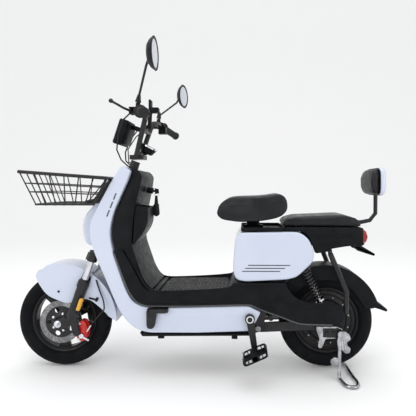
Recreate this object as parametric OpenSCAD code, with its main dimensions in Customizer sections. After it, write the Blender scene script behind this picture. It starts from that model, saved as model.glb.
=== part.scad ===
// Step-through electric moped with pedals: pressed and tube steel frame,
// plastic bodywork, telescopic fork, swingarm with twin shocks, centre stand.
// Millimetres. +Z up, front towards -X, rider's left is -Y.
// The origin lies on the ground, under the middle of the outline.

/* [Wheels] */
// Radius over the tread
wheel_r = 200; // [190:1:205]
// Width of the tyres
tyre_w = 72; // [60:1:80]
// Radius of the rim's edge
rim_r = 136; // [125:1:145]
// Front axle, distance ahead of the origin
front_axle_x = -585; // [-600:1:-570]
// Rear axle, distance behind the origin
rear_axle_x = 536; // [525:1:545]
// Height of the rear axle while the stand holds the wheel clear
rear_axle_z = 203; // [201:1:206]

/* [Steering] */
// Rake of the steering axis from the vertical, in degrees
rake = 20; // [18:0.5:22]
// Point of the steering axis at the top of the leg shield, height
head_z = 864; // [850:1:875]
// Half distance between the fork legs
fork_y = 75; // [70:1:80]
// Radius of the stanchions
stanchion_r = 13; // [12:0.5:15]

/* [Bodywork] */
// Half width over the side panels
body_y = 128; // [120:1:132]
// Wall of the plastic covers
wall = 4; // [3:0.5:5]
// Height of the footboard's top
floor_z = 352; // [345:1:358]

/* [Seat] */
// Radius of the seat post
post_r = 16; // [14:0.5:18]
// Position of the seat post along the vehicle
post_x = 228; // [220:1:236]

/* [Hidden] */
$fn = 48;
front_axle = [front_axle_x, 0, wheel_r];
rear_axle = [rear_axle_x, 0, rear_axle_z];
steer_dir = [sin(rake), 0, cos(rake)];
head_top = [-287, 0, head_z];
fork_shift = -12;
crank_at = [212, 0, 245];
arm_pivot = [246, 0, 190];
stand_pivot = [577, 0, 177];
shock_top = [425, 0, 455];
shock_eye = [512, 0, 276];
shock_y = 96;
shock_dir = (shock_eye - shock_top) / norm(shock_eye - shock_top);
running = 0.05;

// A point on the steering axis, moved ahead by shift, at the given height
function on_axis(z, shift = 0, y = 0) =
  [head_top[0] + (z - head_z) * tan(rake) + shift, y, z];

// Round bar from one point to another
module rod(a, b, r, sides = 48) {
  v = b - a;
  length = norm(v);
  translate(a)
    rotate([0, acos(v[2] / length), atan2(v[1], v[0])])
      cylinder(h = length, r = r, $fn = sides);
}

// Rings of a tube that follows a list of points
function unit(v) = v / norm(v);
function heading(p, i) =
  unit((i > 0 ? unit(p[i] - p[i - 1]) : [0, 0, 0])
       + (i < len(p) - 1 ? unit(p[i + 1] - p[i]) : [0, 0, 0]));
function tube_ring(p, i, r, n) =
  let (t = heading(p, i), u = unit(cross([0.5, 0.31, 0.81], t)), v = cross(t, u))
  [for (k = [0 : n - 1]) p[i] + r * (cos(360 * k / n) * u + sin(360 * k / n) * v)];

// Bent tube or cable through a list of points
module bent_bar(points, r, n = 12) {
  last = (len(points) - 1) * n;
  polyhedron(
    points = [for (i = [0 : len(points) - 1]) each tube_ring(points, i, r, n)],
    faces = concat(
      [[for (k = [0 : n - 1]) k], [for (k = [n - 1 : -1 : 0]) last + k]],
      [for (i = [0 : len(points) - 2]) for (k = [0 : n - 1])
        [i * n + k, (i + 1) * n + k, (i + 1) * n + (k + 1) % n, i * n + (k + 1) % n]]));
}

// Side outline (x, z) given a thickness from y0 to y1
module slab(points, y0, y1) {
  translate([0, y1, 0]) rotate([90, 0, 0])
    linear_extrude(height = y1 - y0) polygon(points);
}

// The same with round parts drawn as children in (x, z)
module side_extrude(y0, y1) {
  translate([0, y1, 0]) rotate([90, 0, 0]) linear_extrude(height = y1 - y0) children();
}

// Disc or bush lying across the vehicle
module cross_cylinder(at, r, y0, y1) {
  translate([at[0], y1, at[2]]) rotate([90, 0, 0]) cylinder(h = y1 - y0, r = r);
}

// Both sides of a thing drawn on the left
module both() {
  children();
  mirror([0, 1, 0]) children();
}

// ---------------------------------------------------------------- frame

head_low = on_axis(530);
head_high = on_axis(800);
pivot_plate = [[205, 320], [285, 320], [268, 180], [232, 172], [196, 222], [192, 260]];

module main_frame() color("#2b2b2e") difference() {
  union() {
    rod(head_low, head_high, 27);
    bent_bar([[-352, 0, 610], [-270, 0, 330], [-225, 0, 308]], 23);
    both() bent_bar([[-232, 0, 308], [-190, -60, 306], [205, -60, 312], [330, -66, 352],
                     [404, -66, 424], [430, -66, 480], [446, -66, 560], [640, -66, 568]], 11);
    rod([-60, -60, 306], [-60, 60, 306], 10);
    rod([150, -60, 310], [150, 60, 310], 10);
    rod([post_x, 0, 300], [post_x, 0, 583], 20);
    rod([post_x, -60, 314], [post_x, 60, 314], 11);
    rod([446, -66, 540], [446, 66, 540], 10);
    rod([628, -66, 568], [628, 66, 568], 9);
    cross_cylinder(crank_at, 21, -34, 34);
    both() slab([[196, 312], [240, 312], [232, 240], [196, 240]], 20, 26);
    both() slab(pivot_plate, 84, 90);
    both() rod([215, -58, 312], [215, -90, 312], 8);
    both() cross_cylinder(shock_top, 7, -104, -66);
    both() bent_bar([strut_top, [600, -112, 348], [597, -112, 264]], 11);
    both() rod(strut_top, strut_in, 9);
    both() slab([[-196, 270], [-114, 270], [-114, 284], [-196, 284]], -134, -54);
    both() slab([[-196, 270], [-114, 270], [-114, 302], [-196, 302]], -66, -54);
    both() for (x = [-196, -119]) translate([x, -150, 270]) cube([5, 17, 14]);
    rod(on_axis(748, -10), on_axis(748, -44), 9);
    rod(on_axis(690, -10), on_axis(690, -52), 9);
  }
  rod(on_axis(500), on_axis(830), 20);
  rod([post_x, 0, 310], [post_x, 0, 600], post_r + running);
  cross_cylinder(crank_at, 14, -40, 40);
  both() cross_cylinder(arm_pivot, 6, 80, 95);
  both() cross_cylinder(crank_at, 11, 80, 95);
}

module ring_on_axis(z0, z1, r_out, r_in) {
  difference() {
    rod(on_axis(z0), on_axis(z1), r_out);
    rod(on_axis(z0 - 5), on_axis(z1 + 5), r_in);
  }
}

module frame_bearings() color("#8c8f93") {
  ring_on_axis(523, 530, 29, 15 + running);
  ring_on_axis(800, 807, 29, 15 + running);
  both() difference() {
    cross_cylinder(crank_at, 14, 20, 36);
    cross_cylinder(crank_at, 9 + running, 10, 40);
  }
  both() cross_cylinder(arm_pivot, 6, 62, 94);
  both() cross_cylinder(arm_pivot, 11, 90, 96);
}

// ------------------------------------------------------------- bodywork

column = [
  [-307, 856], [-271, 834], [-282, 803], [-343, 656], [-353, 576], [-343, 515],
  [-314, 440], [-287, 360], [-258, 314], [-218, 285], [-149, 283], [212, 292],
  [252, 270], [236, 230], [212, 194], [-225, 182], [-262, 208], [-312, 266],
  [-360, 376], [-412, 495], [-431, 530], [-433, 628], [-404, 680], [-352, 782]
];

module side_panel() {
  difference() {
    slab(column, -body_y, -66);
    translate([7, 0, 0]) slab(column, -body_y + wall, -60);
    translate([7, 0, 4]) slab(column, -body_y + wall, -60);
    cross_cylinder(crank_at, 16, -140, -60);
    rod(on_axis(420), on_axis(515), 101);
    slab([[-199, 267], [-111, 267], [-111, 296], [-199, 296]], -140, -50);
    slab([[-100, 100], [400, 100], [400, 400], [-100, 400]], -body_y + wall, -50);
  }
}

module side_panel_left() color("#dfe4f2") side_panel();
module side_panel_right() color("#dfe4f2") mirror([0, 1, 0]) side_panel();

nose = [
  [-438, 522], [-492, 528], [-503, 560], [-504, 625], [-496, 652], [-470, 674],
  [-400, 735], [-362, 790], [-333, 838], [-318, 846]
];

module nose_cover() color("#dfe4f2") difference() {
  slab(concat(nose, [[-326, 790], [-372, 700], [-405, 600]]), -65.5, 65.5);
  translate([5, 0, -3])
    slab(concat(nose, [[-280, 850], [-290, 700], [-300, 500]]), -61.5, 61.5);
  slab([[-432, 400], [-300, 400], [-200, 860], [-310, 860], [-372, 740]], -61.5, 61.5);
}

shield = [
  [-292, 846], [-241, 836], [-224, 818], [-233, 756], [-250, 691], [-262, 600],
  [-266, 539], [-220, 409], [-198, 374], [-176, 356]
];
shield_front = [
  [-238, 356], [-270, 366], [-308, 470], [-334, 540], [-343, 580], [-334, 650],
  [-276, 800], [-272, 824]
];
shield_width = [[-122, 300], [-122, 700], [-100, 850], [100, 850], [122, 700], [122, 300]];
bin_outside = [[-252, 692], [-200, 684], [-200, 622], [-220, 581], [-250, 544], [-266, 530]];
bin_inside = [[-258, 720], [-204, 720], [-204, 624], [-223, 584], [-252, 550], [-262, 546]];

module leg_shield() color("#232427") {
  difference() {
    slab(concat(shield, shield_front), -122, 122);
    translate([-6, 0, -6]) slab(concat(shield, shield_front), -116, 116);
    translate([-26, 0, -6]) slab(concat(shield, shield_front), -116, 116);
    rod(on_axis(500), on_axis(900), 34);
    difference() {
      translate([-400, -200, 300]) cube([300, 400, 600]);
      translate([-500, 0, 0]) rotate([90, 0, 90])
        linear_extrude(height = 400) polygon(shield_width);
    }
  }
  difference() {
    slab(bin_outside, -116, -10);
    slab(bin_inside, -112, -14);
  }
}

trim_outline = [
  [-339, 512], [-285, 362], [-257, 318], [-216, 289], [-149, 287], [212, 296],
  [258, 273], [330, 250], [400, 222], [560, 217], [582, 228], [586, 260], [582, 292],
  [560, 304], [440, 310], [410, 318], [385, 335], [362, 366], [356, 384], [150, 386],
  [120, 360], [-150, 346], [-212, 356], [-256, 440], [-300, 515]
];

module floor_board() color("#1d1e20") {
  both() slab(trim_outline, -body_y - 2, -body_y + wall);
  difference() {
    slab([[-176, 340], [130, 344], [150, 384], [356, 384], [356, 378], [158, 378],
          [138, 338], [-172, 334]], -body_y + wall, body_y - wall);
    rod([post_x, 0, 300], [post_x, 0, 500], 26);
    both() rod([300, -66, 340], [340, -66, 400], 30);
  }
}

module floor_mat() color("#2c2d31") {
  slab([[-172, 340.3], [128, 344.3], [144, 376], [138, 372], [122, floor_z], [-150, floor_z - 4]],
       -118, 118);
  for (y = [-105 : 14 : 105])
    slab([[-145, 348], [118, 351], [118, 354], [-145, 350.5]], y - 3.5, y + 3.5);
}

module belly_pan() color("#1b1b1d") {
  slab([[-232, 180], [-222, 166], [210, 171], [218, 179], [208, 178], [-222, 174]], -118, 118);
  both() for (x = [-150, 150]) translate([x - 12, -104, 152]) cube([24, 16, 19]);
}

cover = [
  [152, 565], [160, 579], [174, 585], [408, 588], [426, 583], [447, 561], [462, 528],
  [471, 494], [462, 470], [432, 438], [398, 410], [362, 398], [192, 389], [164, 394],
  [150, 410], [144, 437]
];

module battery_cover() color("#dfe4f2") difference() {
  slab(cover, -body_y + 1, body_y - 1);
  slab([[148, 380], [148, 438], [156, 564], [176, 581], [408, 584], [424, 579], [500, 540],
        [500, 380]], -body_y + 1 + wall, body_y - 1 - wall);
  slab([[430, 600], [430, 300], [500, 300], [500, 600]], -95, 95);
  rod([post_x, 0, 400], [post_x, 0, 640], 26);
}

module battery_pack() color("#3c4046") {
  translate([264, -92, 410]) cube([98, 184, 144]);
  translate([285, -20, 554]) cube([56, 40, 8]);
}

module motor_controller() color("#9a9c9f") {
  translate([-130, -42, 205]) cube([150, 84, 40]);
  for (x = [-126 : 12 : 12]) translate([x, -42, 245]) cube([4, 84, 8]);
}

tail = [
  [352, 590.5], [410, 591], [432, 585], [452, 564], [466, 530], [476, 500], [526, 507],
  [535, 517], [598, 528], [636, 532], [662, 528], [680, 542], [686, 566], [676, 594],
  [664, 606], [352, 606]
];
tray = [[174, 589.6], [174, 606], [351, 606], [351, 591], [330, 589.6]];
strut_top = [538, -98, 498];
strut_in = [534, -70, 556];

plate_normal = unit([31, 0, 70]);
plate_hole = [717, -30, 491];

module tail_cover() color("#222326") {
  difference() {
    slab(tail, -108, 108);
    slab([[380, 601], [415, 595], [438, 590], [458, 568], [474, 530], [484, 506], [523, 512],
          [533, 522], [598, 533], [655, 537], [672, 552], [668, 585], [655, 601]], -104, 104);
    slab([[480, 480], [480, 520], [650, 545], [650, 480]], -50, 50);
    both() rod(strut_top + 0.4 * (strut_top - strut_in), strut_in, 13);
    slab([[440, 480], [440, 580], [480, 580], [495, 480]], -90, 90);
    slab([[655, 540], [655, 598], [700, 598], [700, 540]], -60, 60);
  }
  difference() {
    slab(tray, -112, 112);
    slab([[178, 593], [178, 640], [345, 640], [345, 593]], -108, 108);
    rod([post_x, 0, 560], [post_x, 0, 640], 24);
  }
  difference() {
    slab([[663, 512], [665, 517], [735, 486], [733, 481]], -40, 40);
    both() rod(plate_hole - 20 * plate_normal, plate_hole + 20 * plate_normal, 3.3);
  }
  both() slab([[650, 532], [664, 532], [668, 514], [660, 512]], -40, -36);
}

module tail_light() color("#a01418") difference() {
  slab([[660, 542], [676, 546], [685, 566], [676, 593], [660, 596]], -59, 59);
  slab([[655, 548], [668, 550], [676, 566], [668, 588], [655, 590]], -54, 54);
}

// ----------------------------------------------------------------- seats

module rear_seat() color("#1d1d20") difference() {
  slab([[348, 607], [341, 617], [352, 638], [380, 647], [600, 657], [644, 650], [664, 636],
        [668, 607]], -106, 106);
  translate([582, -66, 600]) cube([100, 132, 28]);
}

module backrest_tube() color("#1f2022") {
  bent_bar([[600, 0, 617], [690, 0, 618], [728, 0, 626], [752, 0, 656], [753, 0, 800]], 9);
  translate([590, -60, 606.5]) cube([64, 120, 4]);
  rod([753, -40, 790], [753, 40, 790], 7);
}

backrest_y = 88;
module backrest_pad() color("#1d1d20") {
  slab([[742, 733], [742, 848], [720, 846], [706, 822], [704, 760], [716, 736]],
       -backrest_y, backrest_y);
}

module backrest_shell() color("#dfe4f2") difference() {
  slab([[743, 730], [743, 853], [757, 848], [768, 824], [770, 790], [768, 758], [757, 735]],
       -backrest_y, backrest_y);
  slab([[740, 725], [740, 848], [755, 843], [764, 820], [766, 790], [764, 765], [752, 725]],
       3 - backrest_y, backrest_y - 3);
  rod([753, 0, 700], [753, 0, 790], 9.5);
}

module saddle() color("#1d1d20") difference() {
  side_extrude(-112, 112) polygon([[67, 652], [78, 690], [96, 715], [138, 730], [266, 734],
    [343, 746], [362, 732], [374, 700], [372, 668], [343, 642], [266, 624], [162, 618],
    [93, 628]]);
  translate([post_x, 0, 560]) cylinder(h = 100, r = post_r + running);
  both() slab([[60, 600], [60, 760], [180, 760], [180, 600]], 78, 120);
}

module seat_post() color("#b9bcc0") {
  rod([post_x, 0, 440], [post_x, 0, 660], post_r);
}

// ---------------------------------------------------------- rear fender

fender_at = [530, 214];
function arc(at, r, a0, a1, n) =
  [for (i = [0 : n]) at + r * [cos(a0 + (a1 - a0) * i / n), sin(a0 + (a1 - a0) * i / n)]];

module rear_fender() color("#232427") {
  difference() {
    slab(concat(arc(fender_at, 228, 14, 150, 22), arc(fender_at, 168, 150, 14, 18)), -50, 50);
    slab(concat(arc(fender_at, 224, 5, 160, 22), arc(fender_at, 150, 160, 5, 18)), -46, 46);
  }
  slab([[744, 276], [752, 280], [787, 254], [785, 247], [750, 262], [742, 264]], -42, 42);
}

// ---------------------------------------------------------------- basket

basket_low = 696;
basket_front_top = -708;
basket_front_low = -650;
basket_rear_top = -356;
basket_rear_low = -418;
basket_y = 148;
basket_low_y = 128;
rim_front_z = 830;
rim_rear_z = 804;

// A point on the basket's side wall: t from the front to the rear, h from the base to the rim
function basket_x(t, h) =
  (1 - t) * (basket_front_low + (basket_front_top - basket_front_low) * h)
  + t * (basket_rear_low + (basket_rear_top - basket_rear_low) * h);
function basket_wall_y(h) = basket_low_y + (basket_y - basket_low_y) * h;
function basket_z(t, h) = basket_low + (rim_front_z + (rim_rear_z - rim_front_z) * t - basket_low) * h;
function side_point(t, h, s) = [basket_x(t, h), s * basket_wall_y(h), basket_z(t, h)];

// The rear wall stands ahead of the nose cover, and the side rails run on past it
function rear_share(h) =
  (-466 + 94 * h - basket_x(0, h)) / (basket_x(1, h) - basket_x(0, h));
function rear_point(h, s) = side_point(rear_share(h), h, s);

module basket_rail(a, b, r) rod(a - 0.5 * r * unit(b - a), b + 0.5 * r * unit(b - a), r, 8);

module basket_ring(h, r) {
  for (s = [-1, 1]) basket_rail(side_point(0, h, s), side_point(1, h, s), r);
  basket_rail(side_point(0, h, -1), side_point(0, h, 1), r);
  basket_rail(rear_point(h, -1), rear_point(h, 1), r);
}

module basket() color("#17181a") {
  basket_ring(1, 7);
  basket_ring(0.66, 2.5);
  basket_ring(0.4, 2.5);
  basket_ring(0.02, 4);
  for (s = [-1, 1]) {
    for (i = [0 : 5]) {
      t = i * 0.17;
      rod(side_point(t, 0, s), side_point(t, 1, s), 2.5, 6);
    }
    rod(side_point(1, 0, s), side_point(1, 1, s), 5, 8);
  }
  for (i = [1 : 5]) {
    s = -1 + i / 3;
    rod(side_point(0, 0, s), side_point(0, 1, s), 2.5, 6);
    rod(rear_point(0, s), rear_point(1, s), 2.5, 6);
  }
  for (i = [1 : 4]) {
    x = basket_front_low + i * 37;
    rod([x, -basket_low_y, basket_low], [x, basket_low_y, basket_low], 2.5, 6);
  }
  for (y = [-80, -28, 28, 80])
    rod([basket_front_low, y, basket_low], [-466, y, basket_low], 2.5, 6);
}

module ignition_lock() color("#2a2b2e") difference() {
  rod([-232, 0, 756.7], [-206, 0, 752], 13);
  rod([-226, 0, 756], [-200, 0, 751], 5);
}

// -------------------------------------------------------------- steering

module fork_crown() color("#1c1d1f") {
  difference() {
    union() {
      rod(on_axis(472), on_axis(848), 15);
      rod(on_axis(808), on_axis(820), 24);
      rod(on_axis(505), on_axis(521), 28);
      side_extrude(-fork_y, fork_y)
        polygon([[-472, 468], [-434, 468], [-422, 498], [-460, 498]]);
      both() rod(on_axis(462, fork_shift, -fork_y), on_axis(500, fork_shift, -fork_y), 21);
      rod(on_axis(840), on_axis(880), 20);
    }
    both() rod(on_axis(452, fork_shift, -fork_y), on_axis(496, fork_shift, -fork_y), stanchion_r);
  }
}

module stanchions() color("#b9bcc0")
  both() rod(on_axis(300, fork_shift, -fork_y), on_axis(496, fork_shift, -fork_y), stanchion_r);

bar_path = [
  [-268, -40, 902], [-262, -41, 925], [-230, -62, 1034], [-221, -76, 1056],
  [-214, -110, 1061]
];
grip_in = [-208, -205, 1058];
grip_out = [-163, -330, 1031];
grip_dir = (grip_out - grip_in) / norm(grip_out - grip_in);
bar_end = grip_in - 3 * grip_dir;
bar_run = (bar_end - bar_path[4]) / norm(bar_end - bar_path[4]);

module handlebar() color("#1c1d1f") {
  both() bent_bar(concat(bar_path, [bar_end, grip_out - 6.5 * grip_dir]), 11);
  rod([-266, -40, 908], [-266, 40, 908], 12);
  rod([-237, -58, 1010], [-237, 58, 1010], 11);
  translate([-300, -30, 887.5]) cube([60, 60, 18.5]);
}

module grip() {
  difference() {
    union() {
      rod(grip_in + 4 * grip_dir, grip_out, 16);
      rod(grip_in + 4 * grip_dir, grip_in + 10 * grip_dir, 25);
      rod(grip_out - 8 * grip_dir, grip_out, 19);
    }
    rod(grip_in - 20 * grip_dir, grip_out - 6 * grip_dir, 11 + 4 * running);
  }
}

module grip_left() color("#1b1b1d") grip();
module throttle_grip() color("#1b1b1d") mirror([0, 1, 0]) grip();

light_at = [-334, 0, 1003];
module headlight() color("#1a1b1d") translate(light_at) rotate([0, 18, 0]) {
  difference() {
    translate([-18, -55, -55]) cube([50, 110, 110]);
    translate([-22, -49, -49]) cube([40, 98, 98]);
  }
  translate([31, -12, 26]) cube([47.5, 24, 20]);
}

module headlight_lens() color("#d9e2ea") translate(light_at) rotate([0, 18, 0])
  translate([-22, -48.7, -48.7]) cube([10, 97.4, 97.4]);

pod_top = [-221, 0, 945];
module instrument_pod() color("#26272a") {
  translate(pod_top) rotate([0, 29, 0]) {
    translate([0, 0, -6]) cylinder(h = 6, r = 38);
    translate([0, 0, -34]) cylinder(h = 29, r1 = 28, r2 = 35);
  }
  translate([-248, -8, 906.5]) cube([16, 16, 16]);
}

pod_in = bar_path[4] + 60 * bar_run;
pod_out = bar_path[4] + 90 * bar_run;
module pod_bore() rod(pod_in - 30 * bar_run, pod_out + 30 * bar_run, 12);
module control_pods() color("#1a1b1d") {
  both() difference() {
    union() {
      rod(pod_in, pod_out, 19);
      translate([-252, -204, 1050]) cube([40, 38, 26]);
      rod([-222, -184, 1062], [-222, -184, 1094], 9);
    }
    pod_bore();
    translate([-262, -207, 1058]) cube([26, 34, 12]);
    translate([-249, -190, 1040]) cylinder(h = 50, r = 3 + running);
  }
  difference() {
    translate([-196, -196, 1040]) cube([16, 26, 30]);
    rod([-190, -183, 1052], [-170, -183, 1052], 5.3);
    pod_bore();
  }
  difference() {
    translate([-216, 150, 1020]) cube([34, 34, 32]);
    mirror([0, 1, 0]) pod_bore();
  }
}

module horn_button() color("#8f2a22")
  rod([-186, -183, 1052], [-175, -183, 1052], 5);

cable_points = [
  [-262, -150, 1062], [-300, -120, 1040], [-330, -88, 985], [-345, -60, 925],
  [-335, -34, 885], [-312, -29, 862], [-299, -26, 852]
];
module control_cables() color("#141416") {
  both() bent_bar(cable_points, 3);
  bent_bar([[-262, 146, 1052], [-310, 108, 1000], [-338, 76, 940], [-325, 44, 880],
            [-296, 33, 862], [-276, 24, 852]], 2.5);
}

mirror_foot = [-222, -184, 1098.5];
mirror_ball = [-144, -325, 1229];
module mirror_stems() color("#17181a") both() {
  bent_bar([mirror_foot, [-219, -188, 1112], [-158, -312, 1200], mirror_ball], 4.5);
  rod(mirror_foot, [-219, -188, 1112], 9);
  cross_cylinder(mirror_ball, 7, mirror_ball[1] - 6, mirror_ball[1] + 6);
}

mirror_at = [-127, -330, 1236];
module mirror_head() {
  difference() {
    union() {
      translate([mirror_at[0] - 12, mirror_at[1], mirror_at[2]]) rotate([0, 90, 0])
        cylinder(h = 16, r1 = 48, r2 = 59);
      translate([-151, mirror_ball[1], mirror_ball[2]]) rotate([0, 90, 0])
        cylinder(h = 14, r = 13);
    }
    cross_cylinder(mirror_ball, 7.3, mirror_ball[1] - 7, mirror_ball[1] + 7);
    rod(mirror_ball, [-158, -312, 1200], 9);
  }
}
module mirror_head_left() color("#17181a") mirror_head();
module mirror_head_right() color("#17181a") mirror([0, 1, 0]) mirror_head();

lever_pivot = [-249, -190, 1064];
lever_tip = [-282, -318, 1074];
module brake_lever() {
  rod(lever_pivot - [0, 0, 13], lever_pivot + [0, 0, 13], 3);
  rod(lever_pivot - [0, 0, 4.5], lever_pivot + [0, 0, 4.5], 9);
  rod(lever_pivot + [-6, -4, 0], lever_tip, 4.5);
  translate(lever_tip) sphere(r = 8);
}
module brake_lever_left() color("#17181a") brake_lever();
module brake_lever_right() color("#17181a") mirror([0, 1, 0]) brake_lever();

// ------------------------------------------------------------ front fork

leg_top = on_axis(374, fork_shift, -fork_y);
leg_low = on_axis(222, fork_shift, -fork_y);

module fork_lowers() color("#1a1b1d") {
  difference() {
    union() {
      both() rod(leg_low, leg_top, 21);
      both() translate(leg_low) sphere(r = 21.6);
      both() slab([[leg_low[0] + 12, 214], [leg_low[0] + 8, 262], [-572, 222], [-600, 208],
                   [-603, 192], [-590, 182], [-570, 182]], -83, -67);
    }
    both() rod(on_axis(250, fork_shift, -fork_y), on_axis(390, fork_shift, -fork_y),
               stanchion_r + running);
    cross_cylinder(front_axle, 6, -90, 90);
  }
  slab([[-545, 224], [-508, 224], [-480, 204], [-484, 160], [-504, 158], [-512, 200],
        [-545, 204]], -83, -75);
  cross_cylinder(front_axle, 6, -95, 95);
  both() cross_cylinder(front_axle, 11, -94, -83.5);
}

module brake_caliper() color("#b3261e") {
  difference() {
    slab([[-512, 130], [-520, 170], [-512, 214], [-480, 212], [-458, 180], [-462, 140],
          [-486, 122]], -75, -38);
    slab([[-540, 100], [-540, 230], [-484, 222], [-489, 100]], -55, -44);
  }
}

front_guard_at = [-585, 206];
module front_fender() color("#dfe4f2") difference() {
  slab(concat(arc(front_guard_at, 240, 0, 100, 16), [[-660, 430], [-714, 384]],
              [[-716, 376], [-672, 372], [-630, 300], [-545, 288]],
              arc(front_guard_at, 160, 40, 0, 6)), -62, 62);
  slab(concat(arc(front_guard_at, 235, -14, 108, 16),
              [[-712, 376], [-740, 360], [-700, 150], [-340, 140]]), -58, 58);
  both() rod(on_axis(250, fork_shift, -fork_y), on_axis(480, fork_shift, -fork_y), 26);
}

// --------------------------------------------------------------- wheels

module tyre_ring(at) {
  half = tyre_w / 2;
  translate(at) rotate([90, 0, 0]) rotate_extrude($fn = 96)
    polygon([[rim_r, -half + 14], [rim_r + 12, -half + 4], [rim_r + 32, -half],
             [wheel_r - 16, -half + 7], [wheel_r - 5, -half + 18], [wheel_r, -12],
             [wheel_r, 12], [wheel_r - 5, half - 18], [wheel_r - 16, half - 7],
             [rim_r + 32, half], [rim_r + 12, half - 4], [rim_r, half - 14]]);
}

module spoked_rim(at, hub_r, hub_y, spokes) {
  translate(at) rotate([90, 0, 0]) {
    difference() {
      translate([0, 0, -22]) cylinder(h = 44, r = rim_r);
      translate([0, 0, -30]) cylinder(h = 60, r = rim_r - 14);
    }
    for (i = [0 : spokes - 1]) rotate([0, 0, i * 360 / spokes])
      translate([hub_r - 3, -13, -9]) cube([rim_r - hub_r - 8, 26, 18]);
    translate([0, 0, -hub_y]) cylinder(h = 2 * hub_y, r = hub_r);
  }
}

module front_rim() color("#141416") difference() {
  spoked_rim(front_axle, 32, 40, 5);
  cross_cylinder(front_axle, 6 + running, -60, 60);
}
module front_tyre() color("#1a1a1c") tyre_ring(front_axle);

module brake_rotor() color("#9a9da1") difference() {
  union() {
    cross_cylinder(front_axle, 90, -51, -48);
    cross_cylinder(front_axle, 30, -48, -40);
  }
  cross_cylinder(front_axle, 6 + running, -70, -30);
  for (i = [0 : 5]) rotate_about(front_axle, i * 60)
    cross_cylinder(front_axle + [52, 0, 0], 15, -60, -46);
}

module rotate_about(at, angle) {
  translate(at) rotate([0, angle, 0]) translate(-at) children();
}

module rear_rim() color("#141416") difference() {
  union() {
    spoked_rim(rear_axle, 84, 42, 9);
    cross_cylinder(rear_axle, 124, -13, 13);
    cross_cylinder(rear_axle, 24, 42, 50);
  }
  cross_cylinder(rear_axle, 8 + running, -60, 60);
}
module rear_tyre() color("#1a1a1c") tyre_ring(rear_axle);

// -------------------------------------------------------------- swingarm

module swingarm() color("#1e1f21") {
  difference() {
    union() {
      both() slab([[234, 176], [234, 204], [262, 208], [500, 224], [556, 222], [560, 186],
                   [500, 184], [262, 172]], 64, 80);
      rod([300, -66, 224], [300, 66, 224], 11);
      both() cross_cylinder(arm_pivot, 16, 61, 82);
      both() slab([[490, 220], [500, 286], [524, 286], [534, 220]], 74, 80);
    }
    cross_cylinder(arm_pivot, 6 + running, -100, 100);
  }
  cross_cylinder(rear_axle, 8, -98, 98);
  both() cross_cylinder(rear_axle, 13, 80, 92);
  both() cross_cylinder(shock_eye, 5, 78, 112);
  // Rear drum brake plate with its arm
  cross_cylinder(rear_axle, 60, -52, -44);
  rod([540, -58, 160], [500, -58, 150], 5);
  rod([545, -58, 168], [545, -50, 168], 6);
  // Brackets that the centre stand turns on
  both() difference() {
    slab([[508, 160], [508, 200], [562, 202], [592, 188], [592, 164], [566, 158]], 94, 100);
    cross_cylinder(stand_pivot, 6, 90, 110);
  }
  both() for (x = [518, 554]) cross_cylinder([x, 0, 192], 6, 78, 104);
}

ring_r = 32;
sprocket_r = 30;
chain_y0 = 54;
chain_y1 = 60;

// Outline of a belt round two wheels, drawn in (x, z)
module belt_outline(a, ra, b, rb) {
  d = [b[0] - a[0], b[2] - a[2]];
  phi = atan2(d[1], d[0]);
  alpha = acos((ra - rb) / norm(d));
  translate([a[0], a[2]]) circle(r = ra);
  translate([b[0], b[2]]) circle(r = rb);
  polygon([for (p = [[a, ra, alpha], [b, rb, alpha], [b, rb, -alpha], [a, ra, -alpha]])
    [p[0][0], p[0][2]] + p[1] * [cos(phi + p[2]), sin(phi + p[2])]]);
}

module chain() color("#57534c") side_extrude(chain_y0, chain_y1) difference() {
  belt_outline(crank_at, ring_r + 15, rear_axle, sprocket_r + 8.4);
  belt_outline(crank_at, ring_r + 7, rear_axle, sprocket_r + 0.4);
}

module toothed_wheel(at, r, teeth, y0, y1, bore) {
  difference() {
    cross_cylinder(at, r, y0, y1);
    for (i = [0 : teeth - 1]) rotate_about(at, i * 360 / teeth)
      cross_cylinder(at + [r + 1.5, 0, 0], 3.2, y0 - 1, y1 + 1);
    cross_cylinder(at, bore, y0 - 1, y1 + 1);
  }
}

module rear_sprocket() color("#6d6a63")
  toothed_wheel(rear_axle, sprocket_r, 16, 54.5, 59.5, 8 + running);

// ---------------------------------------------------------------- shocks

function on_shock(s, y) = [shock_top[0], y, shock_top[2]] + s * shock_dir;

module shock_bodies() color("#1c1d1f") both() difference() {
  union() {
    cross_cylinder(shock_top, 14, -107, -86);
    rod(on_shock(10, -shock_y), on_shock(96, -shock_y), 12);
    rod(on_shock(24, -shock_y), on_shock(30, -shock_y), 22);
  }
  cross_cylinder(shock_top, 7 + running, -120, -70);
  rod(on_shock(34, -shock_y), on_shock(120, -shock_y), 6 + running);
}

spring_turns = 7;
module shock_springs() color("#3a3b3e") both() {
  for (i = [0 : spring_turns - 1]) {
    s = 36 + i * 18.5;
    translate(on_shock(s, -shock_y)) rotate([0, acos(shock_dir[2]), 0])
      rotate_extrude($fn = 32) translate([17, 0]) circle(r = 3.2, $fn = 16);
  }
}

module shock_rods() color("#b9bcc0") both() difference() {
  union() {
    rod(on_shock(64, -shock_y), on_shock(190, -shock_y), 6);
    rod(on_shock(156, -shock_y), on_shock(162, -shock_y), 22);
    cross_cylinder(shock_eye, 13, -106, -86);
  }
  cross_cylinder(shock_eye, 6, -120, -70);
}

// ---------------------------------------------------------------- pedals

crank_arm = 120;
crank_turn = 9;
crank_tip = crank_at + crank_arm * [sin(crank_turn), 0, -cos(crank_turn)];
crank_tip_right = crank_at - crank_arm * [sin(crank_turn), 0, -cos(crank_turn)];

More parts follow.
